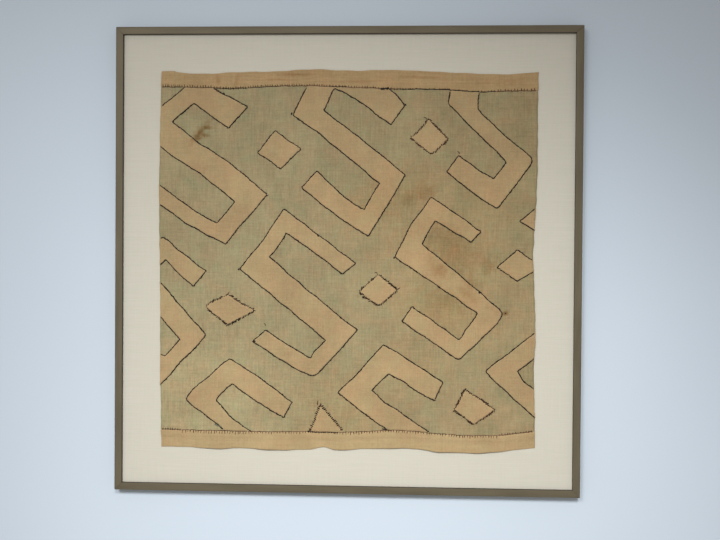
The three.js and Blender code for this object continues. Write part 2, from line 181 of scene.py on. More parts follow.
HOOKS = table("x y fall long wide narrow bows upper lower", [
    (-260, 178, 37, 220, 47, 47, [0, 0, 2, 0, 1],
     (93, 40, 33, 93, 31, 38, 51, 49), (84, 50, 36, 150, 32, 25, 28, 60)),
    (6, 205, 38, 193, 40, 40, [-2, 0, 2, 0, 4],
     (100, 63, 46, 148, 39, 72, 42, 55), (90, 59, 32, 129, 37, 35, 40, 45)),
    (256, 228, 44, 141, 29, 34, [0, 0, -1, 1, 1],
     (95, 83, 53, 30, 36, 40, 40, 55), (72, 54, 35, 92, 36, 38, 33, 56)),
    (-87, -69, 39, 203, 51, 51, [-2, 3, 0, 0, 2],
     (93, 54, 30, 144, 36, 32, 31, 40), (78, 49, 30, 112, 30, 26, 28, 41)),
    (185, -37, 37, 183, 48, 29, [0, -2, 1, 2, 0],
     (87, 60, 29, 91, 33, 32, 26, 47), (86, 50, 32, 112, 34, 31, 32, 55)),
    (-328, -82, 49, 157, 42, 42, [0, 0, 0, 0, 0],
     (65, 41, 35, 85, 39, 28, 35, 53), (90, 47, 29, 40, 30, 64, 60, 60)),
    (-201, -303, 40, 150, 34, 30, [-2, -4, 0, 0, 0],
     (74, 46, 35, 124, 33, 36, 32, 65), (50, 50, 30, 50, 33, 30, 30, 55)),
    (87, -284, 35, 170, 39, 39, [-1, 0, -2, 0, 0],
     (81, 47, 42, 111, 31, 40, 34, 66), (50, 50, 30, 50, 33, 30, 30, 55)),
    (337, -250, 43, 160, 40, 34, [0, 0, -2, 0, 0],
     (100, 38.5, 35, 30, 36, 40, 40, 55), (40, 50, 30, 40, 33, 30, 30, 55)),
    (382, 47, 34, 100, 40, 40, [0, 0, 0, 0, 0],
     (90, 38, 36, 40, 36, 40, 40, 55), (40, 50, 30, 40, 33, 30, 30, 55)),
])
for row in HOOKS:
    row["upper"], row["lower"] = table(HALF_COLUMNS, [row["upper"], row["lower"]])

# Where a side of a hook strays from its straight bar, as cut by hand: the bar, 0 to 4 from the upper
# arm, the side as one goes from the upper arm's tip, the place as a share of the bar, how far it
# spreads along the line, and how far it goes to the left, which is down on an arm and up on a spine.

STRAYS = table("hook bar side at spread by", [
    (1, 2, "left", 0.15, 28, -2.4),
    (1, 2, "left", 0.93, 22, -1.8),
    (1, 2, "left", 0.3, 26, -3.4),
    (1, 2, "right", 0.2, 50, -2.8),
    (1, 2, "right", 0.39, 30, -3.8),
    (1, 4, "right", 0.35, 55, 3.4),
    (1, 4, "left", 0.45, 45, 4.6),
    (2, 0, "right", 0.14, 14, -2.0),
    (2, 0, "left", 0.6, 45, -4.0),
    (2, 0, "left", 0.92, 24, -2.0),
    (2, 1, "left", 0.1, 25, -2.0),
    (2, 2, "right", 0.28, 22, 1.8),
    (2, 4, "right", 0.25, 40, 2.6),
    (3, 1, "right", 0.7, 15, 5.0),
    (3, 1, "left", 0.98, 12, 2.2),
    (3, 2, "left", 0.9, 30, 2.3),
    (3, 2, "right", 0.75, 24, 1.2),
    (3, 3, "left", 0.02, 16, 3.0),
    (3, 3, "left", 0.65, 24, 2.4),
    (3, 4, "left", 0.5, 50, 2.2),
    (3, 4, "left", 0.96, 22, 1.8),
    (4, 0, "right", 0.22, 40, 1.8),
    (4, 0, "right", 0.55, 30, 1.4),
    (4, 1, "left", 0.5, 22, -1.4),
    (4, 2, "left", 0.45, 60, -2.6),
    (4, 3, "left", 0.35, 32, 1.6),
    (4, 4, "left", 0.28, 30, 3.2),
    (4, 2, "left", 0.86, 26, -2.2),
    (4, 3, "right", 0.98, 16, 1.6),
    (4, 4, "right", 0.03, 22, 2.0),
    (4, 4, "left", 0.8, 42, 1.7),
    (5, 1, "right", 0.6, 34, -2.9),
    (5, 3, "left", 0.2, 16, 3.2),
    (5, 3, "left", 0.88, 15, -4.0),
    (5, 3, "right", 0.02, 14, -1.6),
    (5, 3, "right", 0.98, 22, 4.4),
    (6, 0, "left", 0.45, 36, 2.6),
    (6, 0, "right", 0.2, 30, 1.8),
    (6, 2, "left", 0.35, 60, -1.4),
    (7, 0, "right", 0.14, 30, 1.6),
    (7, 0, "left", 0.22, 26, 2.4),
    (7, 0, "left", 0.55, 34, 4.4),
    (7, 0, "left", 0.86, 20, 1.6),
    (7, 0, "left", 0.99, 12, -1.4),
    (7, 1, "left", 0.55, 22, 2.0),
    (7, 1, "right", 0.9, 26, -6.4),
    (7, 2, "left", 0.3, 32, -6.2),
    (7, 2, "right", 0.1, 18, -3.4),
    (8, 0, "left", 0.15, 20, 2.2),
    (8, 0, "left", 0.42, 20, 2.8),
    (8, 1, "right", 0.6, 16, 2.6),
    (8, 2, "left", 0.2, 22, -2.8),
    (8, 2, "right", 0.35, 40, -1.4),
    (9, 2, "left", 0.15, 16, -4.4),
])

# Corners that are rounder than the rest: the side, the corner's number along the line, and how many
# more times it is softened.

ROUND_CORNERS = table("hook side corner times", [
    (2, "right", 1, 10),
    (3, "left", 3, 12),
    (4, "left", 4, 10),
    (5, "left", 3, 6),
    (5, "left", 4, 8),
])
PARTED_HOOK = 6  # the one that the cloth's left edge cuts in two, at the upper end of its spine
SPINE_START = 2  # the third of a centre line's six points

# A patch has four corners, each so far across and up from its middle. bows says how far the middle
# of each side lies out of a straight line: upper left, upper right, lower right and lower left.
# sewing names a row of SEWING.

PATCHES = table("x y top right bottom left bows sewing thread", [
    (-124, 198, (-5, 34), (41, 2), (5, -34), (-37.5, -4.5), [0.6, 0, 0, 0], "fine", "dark"),
    (147, 219, (-2.5, 35), (34, -1), (4, -29), (-33, 1), [-2.2, 0, 0.6, 0], "over", "brown"),
    (-212, -87, (-2, 24), (48, -4.5), (-2, -31), (-42, 2), [1.6, -0.4, 0, 0.8], "over", "umber"),
    (59, -54, (-1, 30), (33, 1.5), (1, -26), (-36, -3), [0.6, 0, 0, 1.2], "over", "umber"),
    (305, -10, (0, 31), (44, 0), (0, -24), (-35, 0), [0, 0, 0, 0], "fine", "dark"),
    (-35, -310, (-10.5, 50.5), (33, 0), (9, -20), (-29, 0), [-0.8, 0.8, 0, 0], "blanket", "umber"),
    (222, -265, (-8, 36), (47, 0), (8, -27), (-27, -1), [0, 0.6, 0, 0], "over", "umber"),
])

# Kinds of stitch: the distance from one to the next, its length and width, how far it turns from the
# line that it follows, in degrees, how far it strays from it, and how unevenly it is made.

SEWING = {
    "stem": {"pitch": 3.6, "long": 5.6, "wide": 2.3, "turn": 9, "stray": 0.25, "uneven": 0.28},
    "fine": {"pitch": 3.2, "long": 4.8, "wide": 2.1, "turn": 14, "stray": 0.3, "uneven": 0.3},
    "over": {"pitch": 3.3, "long": 5.0, "wide": 2.5, "turn": 52, "stray": 0.6, "uneven": 0.45},
    "blanket": {"pitch": 3.4, "long": 5.6, "wide": 2.3, "turn": 80, "stray": 0.6, "uneven": 0.4},
}

# How a border strip is sewn down, along its seam: each stretch's ends across the cloth, its thread,
# the width of its running line, and its comb of stitches: the distance between them, how far they
# reach into the strip and back onto the ground cloth, and their width.

TOP_SEWING = table("start end thread line pitch into back wide", [
    (-335, -296, "umber", 1.4, 4.0, 5.6, 0.8, 1.3),
    (-296, -243, "brown", 1.3, 4.8, 4.6, 0.5, 1.5),
    (-243, -226, "russet", 1.4, 5.4, 3.2, 1.5, 1.6),
    (-226, -180, "brown", 1.6, 4.4, 4.0, 2.4, 1.7),
    (-180, -79, "umber", 1.2, 4.4, 4.6, 0.6, 1.3),
    (-79, -34, "russet", 1.3, 4.4, 3.8, 1.0, 1.6),
    (-34, 0, "umber", 1.8, 5.2, 3.4, 1.4, 2.0),
    (0, 59, "russet", 1.3, 4.8, 3.4, 0.8, 1.5),
    (59, 76, "dark", 2.2, 4.4, 2.8, 1.0, 1.8),
    (76, 108, "brown", 1.5, 4.8, 3.2, 2.0, 1.4),
    (108, 187, "dark", 2.0, 9.0, 2.2, 0.6, 1.2),
    (187, 236, "dark", 2.4, 12.0, 1.6, 0.4, 1.0),
    (236, 266, "brown", 1.7, 5.6, 2.6, 0.6, 1.4),
    (266, 336, "russet", 1.5, 5.6, 4.4, 0.8, 1.8),
])
BOTTOM_SEWING = table("start end thread line pitch into back wide", [
    (-333, -297, "brown", 1.3, 4.6, 2.0, 3.2, 1.6),
    (-297, -176, "russet", 1.3, 4.8, 5.8, 0.5, 1.4),
    (-176, -68, "russet", 1.3, 5.0, 4.2, 0.8, 1.4),
    (-68, -11, "umber", 2.0, 3.4, 2.8, 2.8, 1.8),
    (-11, 144, "russet", 1.2, 4.8, 4.4, 1.2, 1.5),
    (144, 184, "brown", 1.3, 4.6, 4.0, 1.6, 1.3),
    (184, 274, "russet", 1.2, 4.8, 4.6, 0.9, 1.4),
    (274, 336, "russet", 1.5, 4.8, 1.4, 3.0, 1.5),
])
GATHER_LENGTH = 6.3  # between the small folds that the comb draws into a strip
GATHER_DEPTH = 0.22
GATHER_START = 2.5
GATHER_REACH = 9
GATHER_BEND = (1.6, 40)  # how far a slow meander bends them, in radians, and its wavelength
GATHER_UNEVEN = (0.4, 70)  # how far their depth changes, as a share, and the wavelength of that
GATHER_SHARE = 0.7  # of their depth that they have on average

# Loose thread ends: where each comes out of the cloth, its turn from the X axis, its length and how
# far it curls, in degrees, its thickness, how much higher it lies where it is over a sewn piece, and
# its thread.

THREAD_ENDS = table("x y turn long curl thick up thread", [
    (201, 192, 110, 6, 50, 1.4, 0, "russet"),
    (-145, -119, 80, 6, 90, 1.4, 0, "russet"),
    (142, 254, 130, 6, 60, 1.4, 0, "brown"),
    (-50, -260, 96, 8, -30, 1.6, 0, "brown"),
    (-236, -297, -34, 13, 26, 2.2, 0.9, "faded"),
    (67, -301.3, -12, 13, 4, 1.9, 0.9, "dark"),
    (56, -23, 110, 6, 120, 1.3, 0, "russet"),
    (92, -51, 24, 6, 20, 1.5, 0, "umber"),
    (-214, -62, 60, 5, -20, 1.3, 0, "brown"),
    (-148, 114, 12, 8, 30, 1.3, 0, "brown"),
])

# Knots and thick stitches: the middle of each, its length, width, turn in degrees, and thread.

KNOTS = table("x y long wide turn thread", [
    (-234, 304, 6, 3.6, -10, "umber"),
    (-229, 301, 5, 3.0, -30, "dark"),
    (64, 307, 10, 3.0, 6, "dark"),
    (72, 308, 6, 3.6, 60, "dark"),
    (-194, -17, 4.2, 3.4, 30, "dark"),
    (-100, 263, 4.6, 3.2, 70, "umber"),
    (104, 279, 4.2, 3.0, -50, "dark"),
    (-165, -147, 4.4, 3.4, 20, "dark"),
    (86, 6, 4.4, 3.2, 60, "umber"),
    (-51, 44, 4.6, 3.0, -36, "dark"),
    (-9, -103, 4.4, 2.8, -38, "dark"),
    (238, -56, 4.4, 2.8, -36, "dark"),
    (-240, -74, 4.6, 3.6, 30, "umber"),
    (-220, -114, 5.0, 3.0, -30, "umber"),
    (31, -66, 4.6, 3.0, -40, "dark"),
    (60, -79, 4.4, 2.8, 10, "umber"),
    (-63, -305, 4.6, 3.6, 70, "umber"),
    (-45, -262, 4.6, 3.4, 20, "umber"),
    (285, -92, 2.8, 2.4, 0, "brown"),
    (-223, 299, 5.0, 3.0, -26, "dark"),
])

# Marks of age on the cloth: the middle of each, its half-width across and up before it turns, its
# turn in degrees, and how strong it is.

STAINS = table("x y across up turn depth", [
    (-268, 227, 30, 9, 52, 1.0),
    (-256, 238, 19, 7, 4, 1.0),
    (-260, 225, 21, 7, -12, 0.9),
    (-272, 218, 20, 8, 18, 0.85),
    (-252, 248, 22, 10, 36, 0.36),
    (-234, 322, 8, 20, 0, 0.42),
    (-200, 322, 6, 22, -14, 0.34),
    (-90, 333, 50, 4, 0, 0.45),
    (-128, 324, 44, 4, -1, 0.34),
    (20, 321, 70, 4, 1, 0.3),
    (128, 328, 60, 4, -2, 0.34),
    (270, 318, 60, 14, 0, 0.2),
    (140, 121, 36, 22, 20, 0.46),
    (112, 112, 30, 20, 50, 0.38),
    (192, 22, 84, 56, -50, 0.28),
    (222, -40, 26, 18, -30, 0.4),
    (253, -8, 20, 28, 0, 0.38),
    (184, -68, 60, 30, -12, 0.3),
    (166, -14, 34, 20, -40, 0.42),
    (216, -58, 36, 20, -38, 0.4),
    (150, 36, 26, 18, 60, 0.26),
    (40, 96, 90, 60, 30, 0.12),
    (285, -92, 9, 8, 0, 1.0),
])

# Broad browning of the dyed cloth, in the same way

BROWNINGS = table("x y across up turn depth", [
    (330, 0, 620, 1000, 0, 0.46),
    (105, 50, 220, 260, 0, 0.5),
    (190, 20, 270, 200, -40, 0.95),
    (100, 116, 230, 130, 20, 0.85),
    (240, 104, 250, 160, -20, 0.75),
    (182, -86, 220, 140, -20, 0.9),
    (10, -270, 200, 170, 0, 0.6),
    (130, -190, 200, 170, 0, 0.56),
])
BROWN_TINT = (1.0, 0.855, 0.74, 1.0)
STAIN_TINT = (0.57, 0.37, 0.20, 1.0)

# Where the dye has faded

FADINGS = table("x y across up turn depth", [
    (-270, -250, 260, 250, 0, 1.0),
])
FADED_TINT = (1.24, 1.23, 1.22, 1.0)

# How finely the meshes follow their shapes

STATION = 2.5  # between points along a hook
ACROSS_STEPS = 18  # points across a hook, a patch or a strip
TIP_STEPS = [0, 0.35, 1.0, 2.0, 3.4]  # extra points behind a hook's tip
SOFTENINGS = 1  # times that every corner of a hook is softened
SOFT_POINTS = 3.5  # how many points a rounder corner takes in on either side
TIP_ROUND = 1.6
CELL = 3.6  # of the ground cloth
STRIP_CELL = 1.3  # along the strips
LINEN_CELL = 8
WAVES = 6  # sines in a smooth unevenness
WAVE_RANGE = (0.7, 1.5)  # their lengths, as shares of the wavelength
RAIL_STEPS = 13
BEAD_SIDES = 6
BEAD_STATIONS = np.array([-0.4, 0.0, 0.4])  # of its rings, along a stitch of length 1
THREAD_END_STEPS = 12
THREAD_END_HUMP = 0.35
THREAD_END_RISE = 0.25
PATCH_STEPS = ACROSS_STEPS + 5
PATCH_CORNER_DRAW = 0.022  # how far a patch's corners are drawn in, as a share of its half-width
PATCH_CORNER_POWER = 5  # how near to the corner that starts

# Fine unevenness: how far it strays, and its wavelength

SIDE_ROUGH = (0.35, 26)  # of the cloth's left and right edge
END_ROUGH = (0.3, 34)  # of its top and bottom edge
SEAM_ROUGH = (0.3, 30)
CUT_ROUGH = (0.55, 44)  # of the hooks and patches
PUFF = (0.12, 34)  # of a sewn piece's height
PUFF_START = 3  # how far in from the edge it starts
PUFF_FULL = 9  # and is full

# The top of a sewn piece, over the ground cloth, by the distance in from its stitches

STITCHED_TOP = 0.5
SINGLE_RISE = 0.6  # from the stitches to the single cloth
SINGLE_START = 2.2  # where that rise ends
HEM_RISE = 0.3
HEM_MIDDLE = 3.2
HEM_WIDTH = 2.0
FOLD_WIDTH = 1.4  # of a strip's folded outer edge
FOLD_DROP = 0.45

# Sewing

EDGE_THREAD = 0.62  # height of the thread along a sewn piece's edge, over the ground cloth
TURN_SPREAD = 5  # how unevenly a stitch turns, in degrees
LINE_PITCH = 3.4  # of the running line along a border seam
LINE_LONG = 4.4
LINE_STRAY = 0.25
LINE_TURN = 6  # how far its stitches turn from the seam, in degrees
COMB_TURN = 4  # how far the comb's stitches turn from upright
COMB_STRAY = 0.1  # of the comb's stitches, as a share of the distance between them
COMB_INTO = (0.65, 1.15)  # ranges of the comb's reach, into the strip and back, as shares
COMB_BACK = (0.6, 1.3)
SEAM_THREAD = 0.1  # height of the middle of the thread over the strip
BESIDE_STRIP = 0.35  # how much more it is over the ground cloth, beside the strip
SEAM_TURN_SPREAD = 6
SEAM_UNEVEN = 0.2
BEAD_FLAT = 0.8  # a stitch's height as a share of its width
TONE_DRIFT = (0.28, 60)  # of a thread's tone along its row, and the wavelength of that
TONE_SPREAD = 0.3  # from one stitch to the next
KNOT_RISE = 0.5  # of a knot over the stitches
KNOT_UNEVEN = 0.1

# Finishes: colours are linear red, green, blue and 1

RAFFIA_PITCH = 1.15  # between threads
LINEN_PITCH = 0.75
BEND_SCALE = 26.0  # of the noise that bends the threads
CROSSING_SHARPNESS = 3.0
TONE_SCALE = 11.0  # of a thread's tone along it
TONE_ROW = 0.731  # from one thread's tones to the next thread's
SPECK_SCALE = 330.0
SPECK_DEPTH = 0.9
CLOUD_SCALE = 13.0
HUE_SCALE = 34.0
THREAD_DEPTH = 1.1

# Shares read from a noise or a height: what it is multiplied by, and what is added

HUE_RANGE = (3.6, -1.3)
# painted shade: how the weave's height sets the darkening in its gaps
GAP_SHADE_RANGE = (-1.6, 1.0)
LINEN_BAND_RANGE = (2.0, -0.5)
LINEN_TONE_RANGE = (1.0, -0.25)
SLUB_RANGE = (6.0, -4.1)
BRONZE_ROUGHNESS = (0.18, 0.42)

# How strongly they show

# painted shade in the gaps of the weave, of the raffia and of the linen
RAFFIA_GAP_SHADE_SHARE = 0.45
LINEN_GAP_SHADE_SHARE = 0.3
LINEN_TONE_SHARE = 0.2
LINEN_LEVEL_SHARE = 0.65  # the part of the bands that run across
SLUB_SHARE = 0.15
BRUSHING_DEPTH = 0.8
PATINA_DEPTH = 0.9
BRONZE_LESS = 0.35  # taken off the sum of both

# How finely the noises of the other finishes run

LINEN_BAND_SIZE = (420.0, 14.0)
BRUSHING_SCALE = (18.0, 2600.0, 1.0)  # along the rail, across it, and from rail to rail
PATINA_SCALE = (9.0, 60.0, 1.0)
FIBRE_SCALE = 2400.0
GRAIN_SCALE = 260.0
FLOOR_SCALE = 1.4

# Marks of age and colours
MARK_SCALE = 110.0  # of the noise that breaks a mark's edge
MARK_BREAKING = 1.3
MARK_OUTSIDE = 0.35  # where a mark begins to show, and where it is full
MARK_INSIDE = -0.75
GREENER = (0.945, 1.02, 0.985, 1.0)
REDDER = (1.07, 0.975, 0.95, 1.0)
LINEN_DARK = (0.618, 0.578, 0.490, 1.0)
LINEN_LIGHT = (0.690, 0.648, 0.558, 1.0)
LINEN_THREAD = (0.80, 0.76, 0.66, 1.0)
# painted shade for the gaps of the linen's weave
LINEN_GAP_SHADE = (0.44, 0.40, 0.31, 1.0)
BRONZE_DARK = (0.108, 0.087, 0.057, 1.0)
BRONZE_LIGHT = (0.241, 0.199, 0.130, 1.0)
# painted shade: the near-black colour of the rails' inner side, where the lip shades the linen
BRONZE_PAINTED_SHADE = (0.020, 0.015, 0.011, 1.0)
BOARD_DARK = (0.30, 0.26, 0.21, 1.0)
BOARD_LIGHT = (0.46, 0.41, 0.34, 1.0)
FLOOR_DARK = (0.616, 0.686, 0.788, 1.0)
FLOOR_LIGHT = (0.676, 0.749, 0.842, 1.0)

# A raffia cloth's colours, the third painted shade for the gaps of the weave, the fineness and length
# of its bands of threads, the warp's share in them, how deep the bands, the clouds and the clouds of
# hue are, and its share of browning and fading.

RAFFIA_CLOTHS = table(
    "name dark light gap band_size warp_share band_depth cloud_depth hue_depth browning", [
    ("dyed raffia",
     (0.252, 0.208, 0.116, 1.0), (0.448, 0.366, 0.211, 1.0), (0.17, 0.135, 0.075, 1.0),
     (370.0, 28.0), 0.62, 1.5, 1.3, 1.0, 1.0),
    ("raffia of the upper strip",
     (0.338, 0.221, 0.107, 1.0), (0.557, 0.380, 0.200, 1.0), (0.24, 0.145, 0.065, 1.0),
     (320.0, 24.0), 0.3, 1.1, 1.1, 0.5, 0.3),
    ("raffia of the lower strip",
     (0.376, 0.260, 0.134, 1.0), (0.574, 0.415, 0.223, 1.0), (0.27, 0.17, 0.08, 1.0),
     (320.0, 24.0), 0.4, 0.6, 1.5, 0.4, 0.0),
    ("raffia of the sewn pieces",
     (0.333, 0.232, 0.124, 1.0), (0.526, 0.380, 0.205, 1.0), (0.27, 0.17, 0.08, 1.0),
     (420.0, 55.0), 0.55, 0.9, 1.5, 0.7, 0.3),
])
THREADS = table("name finish dark light", [
    ("dark", "black", (0.006, 0.006, 0.006, 1.0), (0.040, 0.031, 0.025, 1.0)),
    ("umber", "umber", (0.010, 0.007, 0.006, 1.0), (0.075, 0.040, 0.026, 1.0)),
    ("brown", "brown", (0.022, 0.012, 0.008, 1.0), (0.100, 0.051, 0.030, 1.0)),
    ("russet", "russet", (0.055, 0.025, 0.017, 1.0), (0.175, 0.083, 0.050, 1.0)),
    ("faded", "faded", (0.10, 0.11, 0.085, 1.0), (0.19, 0.20, 0.16, 1.0)),
])

# The stage, in metres, watts and degrees. A light has a place, what it is aimed at and its power, and
# a spot also its opening.

FLOOR_HALF = 6.0
WHITE = (1.0, 1.0, 1.0)
COOL_WHITE = (0.97, 1.0, 1.0)
SURROUND_COLOUR = (1.0, 0.985, 0.93, 1.0)
SURROUND_STRENGTH = 0.338
PANEL = ("soft light", "AREA", (-0.75, 0.9, 2.4), (-0.35, 0.35, 0.0), 8.0, WHITE)
PANEL_SIZE = 0.8
SPOT_RADIUS = 0.3
SPOTS = [
    ("right key light", (0.40, 1.3, 3.2), (0.20, -0.66, 0.0), 280.0, 36),
    ("left key light", (-0.75, 1.0, 3.0), (-0.32, -0.38, 0.0), 160.0, 40),
]
CAMERA_PLACE = (0.1125, 0.0063, 1.8114)
CAMERA_TURNS = (-0.719, 2.805, 0.404)
LENS = 50  # in millimetres
SENSOR_WIDTH = 36

# Where the random draws start, for each kind of row

SEAM_SEED = 40
SEAM_ROW_SEED = 60
KNOT_SEED = 90
HOOK_SEED = 100
PATCH_SEED = 200


# Curves and surfaces


def curve_at(rows, places):
    """A smooth curve through rows of a place and a value, read at every place: between two rows a
    cubic whose slope at a row is that of the straight line through the rows on either side."""
    known, values = np.array(rows, float).T
    last = len(rows) - 1
    inside = np.clip(places, known[0], known[-1])
    k = np.clip(np.searchsorted(known, inside, side="left") - 1, 0, last - 1)
    before = np.maximum(k - 1, 0)
    after = np.minimum(k + 2, last)
    span = known[k + 1] - known[k]
    t = (inside - known[k]) / span
    start_slope = (values[k + 1] - values[before]) / (known[k + 1] - known[before]) * span
    end_slope = (values[after] - values[k]) / (known[after] - known[k]) * span
    return (
        values[k] * (2 * t**3 - 3 * t**2 + 1)
        + start_slope * (t**3 - 2 * t**2 + t)
        + values[k + 1] * (3 * t**2 - 2 * t**3)
        + end_slope * (t**3 - t**2)
    )


def wander(x, y, wavelength, seed):
    """A smooth unevenness of about 1 either way: a sum of sines of a place, each with a drawn turn,
    phase and length near the wavelength, over the root of their number."""
    draw = np.random.default_rng(seed)
    total = np.zeros(np.broadcast(x, y).shape)
    for _ in range(WAVES):
        turn, phase = draw.uniform(0, 2 * math.pi, 2)
        length = wavelength * draw.uniform(*WAVE_RANGE)
        total = total + np.sin(2 * math.pi * (x * math.cos(turn) + y * math.sin(turn)) / length + phase)
    return total / math.sqrt(WAVES)


def line_up(rows, y, rough, seed):
    """A line that runs up the cloth: the curve through its rows, and a fine unevenness."""
    return curve_at(rows, y) + rough[0] * wander(0, np.asarray(y), rough[1], seed)


def line_across(rows, x, rough, seed):
    """A line that runs across the cloth, in the same way."""
    return curve_at(rows, x) + rough[0] * wander(np.asarray(x), 0, rough[1], seed)


# The cloth's edges and seams: how far out each lies, by the place along it


def left_edge(y):
    return line_up(LEFT_EDGE, y, SIDE_ROUGH, 1)


def right_edge(y):
    return line_up(RIGHT_EDGE, y, SIDE_ROUGH, 2)


def top_edge(x):
    return line_across(TOP_EDGE, x, END_ROUGH, 3)


def bottom_edge(x):
    return line_across(BOTTOM_EDGE, x, END_ROUGH, 4)


def top_seam(x):
    return line_across(TOP_SEAM, x, SEAM_ROUGH, 5)


def bottom_seam(x):
    return line_across(BOTTOM_SEAM, x, SEAM_ROUGH, 6)


def smooth_step(low, high, value):
    """From 0 at low to 1 at high: 3t squared less 2t cubed, for t the share of the way."""
    t = np.clip((value - low) / (high - low), 0, 1)
    return t * t * (3 - 2 * t)


def lift(x, y):
    """How far the cloth stands off the board: a slow ripple, a product of a sine across and a cosine
    up, and a bell for each pucker and, in its own turned axes, for each crease."""
    across = np.sin(2 * math.pi * x / RIPPLE_ACROSS)
    up = np.cos(2 * math.pi * y / RIPPLE_UP)
    height = RIPPLE * (1 + across * up) / 2
    for pucker in PUCKERS:
        away_x = (x - pucker["x"]) / pucker["across"]
        away_y = (y - pucker["y"]) / pucker["up"]
        height = height + pucker["rise"] * np.exp(-(away_x**2 + away_y**2))
    for crease in CREASES:
        way = heading(crease["turn"])
        along = (x - crease["x"]) * way[0] + (y - crease["y"]) * way[1]
        aside = (y - crease["y"]) * way[0] - (x - crease["x"]) * way[1]
        away = (along / crease["long"]) ** 2 + (aside / crease["wide"]) ** 2
        height = height + crease["rise"] * np.exp(-away)
    return height


def sewn_rise(inwards):
    """The top of a sewn piece over the ground cloth, by its distance in from the edge: lowest at the
    stitches, a smooth step up to the single cloth, and a bell where the hem is turned in."""
    step = SINGLE_RISE * smooth_step(0, SINGLE_START, inwards)
    hem = HEM_RISE * np.exp(-(((inwards - HEM_MIDDLE) / HEM_WIDTH) ** 2))
    return STITCHED_TOP + step + hem


def strip_rise(out, width):
    """The top of a border strip over the ground cloth, by its distance out from the seam: as any sewn
    piece, then a smooth step down past the tuck, and a quarter round at its folded outer edge."""
    dip = STRIP_DIP * smooth_step(TUCK + GAP, 2 * TUCK, out)
    to_edge = np.clip(1 - (width - out) / FOLD_WIDTH, 0, 1)
    return sewn_rise(out) - dip - FOLD_DROP * (1 - np.sqrt(1 - to_edge**2))


def gathers(x, out):
    """Small folds that the comb draws into a strip: a sine along the seam, bent by a meander, that
    starts a little way out from the seam and fades over its reach."""
    bend = GATHER_BEND[0] * wander(x, 0, GATHER_BEND[1], 10)
    wave = np.sin(2 * math.pi * x / GATHER_LENGTH + bend)
    uneven = GATHER_UNEVEN[0] * wander(x, 0, GATHER_UNEVEN[1], 11)
    strength = GATHER_DEPTH * (GATHER_SHARE + uneven)
    fading = smooth_step(0, GATHER_START, out) * np.exp(-((out / GATHER_REACH) ** 2))
    return strength * wave * fading


def hand_cut(x, y):
    """Moves places by the unevenness of cutting and sewing by hand, a smooth field for each axis."""
    stray, wavelength = CUT_ROUGH
    return x + stray * wander(x, y, wavelength, 7), y + stray * wander(x, y, wavelength, 8)


# Directions


def heading(degrees):
    """The direction that is turned so far from the X axis."""
    angle = math.radians(degrees)
    return np.array([math.cos(angle), math.sin(angle)])


def left_of(way):
    """A direction turned a quarter turn to its left."""
    return np.array([-way[1], way[0]])


# Meshes


def new_object(name, data):
    """An object in the scene, for a mesh, a light or a camera."""
    made = bpy.data.objects.new(name, data)
    bpy.context.scene.collection.objects.link(made)
    return made


def new_piece(name, points, faces, material):
    """A mesh from an array of points, in millimetres, and its faces, that rides on the frame."""
    mesh = bpy.data.meshes.new(name)
    mesh.from_pydata((np.asarray(points) * MM).tolist(), [], faces)
    mesh.update()
    mesh.shade_smooth()
    mesh.materials.append(material)
    piece = new_object(name, mesh)
    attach(piece, "root")
    return piece


def grid_quads(rows, columns):
    """The four corner numbers of every cell of a grid of points, row after row."""
    corner = np.arange(rows * columns).reshape(rows, columns)
    cells = [corner[:-1, :-1], corner[:-1, 1:], corner[1:, 1:], corner[1:, :-1]]
    return np.stack(cells, axis=-1)


def kept_cells(kept):
    """The cells of a grid that have a kept point at one corner at least."""
    return kept[:-1, :-1] | kept[:-1, 1:] | kept[1:, 1:] | kept[1:, :-1]


def grid_piece(name, x, y, z, material, slot, kept=None, flip=False):
    """A piece on a grid of points; kept says which points lie inside, and a cell with none is left
    out."""
    quads = grid_quads(*x.shape)
    if kept is not None:
        quads = quads[kept_cells(kept)]
    quads = quads.reshape(-1, 4)
    if flip:
        quads = quads[:, ::-1]
    used, numbers = np.unique(quads, return_inverse=True)
    points = np.column_stack([x.ravel(), y.ravel(), z.ravel()])[used]
    return new_piece(name, points, numbers.reshape(-1, 4).tolist(), material)


def thicken(piece, thick):
    """Gives a sheet its thickness, downwards from its top face."""
    solid = piece.modifiers.new("thickness", "SOLIDIFY")
    solid.thickness = thick * MM
    solid.offset = -1
    return piece


def add_values(piece, name, values, kind="FLOAT"):
    """Keeps a number, or a vector, with every point of a mesh, for its material to read."""
    attribute = piece.data.attributes.new(name, kind, "POINT")
    field = "vector" if kind == "FLOAT_VECTOR" else "value"
    attribute.data.foreach_set(field, np.asarray(values, np.float32).ravel())


# Materials


def set_inputs(tree, made, inputs):
    """Joins an input to the socket that is given for it, or sets its value."""
    for name, value in inputs.items():
        if isinstance(value, bpy.types.NodeSocket):
            tree.links.new(value, made.inputs[name])
        else:
            made.inputs[name].default_value = value


def add_node(tree, kind, inputs=None, **settings):
    """A node of one kind, with its settings and its inputs."""
    made = tree.nodes.new(kind)
    for name, value in settings.items():
        setattr(made, name, value)
    set_inputs(tree, made, inputs or {})
    return made


def maths(tree, operation, first, second=0.0, third=0.0, clamp=False):
    """An operation on two or three numbers, held between 0 and 1 where clamp says so."""
    inputs = {0: first, 1: second, 2: third}
    made = add_node(tree, "ShaderNodeMath", inputs, operation=operation, use_clamp=clamp)
    return made.outputs[0]


def scaled(tree, value, factor, plus, clamp=True):
    """A value times a factor, plus a number, held between 0 and 1."""
    return maths(tree, "MULTIPLY_ADD", value, factor, plus, clamp=clamp)


def swung(tree, value, depth, share=0.0):
    """A share moved up and down by a value: the value less a half, times the depth, plus the share."""
    return maths(tree, "MULTIPLY_ADD", maths(tree, "SUBTRACT", value, 0.5), depth, share)


def mix_colours(tree, share, first, second, way="MIX"):
    """The first colour, changed by a share towards the second or by the second in another way."""
    inputs = {0: share, 6: first, 7: second}
    settings = {"data_type": "RGBA", "blend_type": way, "clamp_factor": True}
    return add_node(tree, "ShaderNodeMix", inputs, **settings).outputs[2]


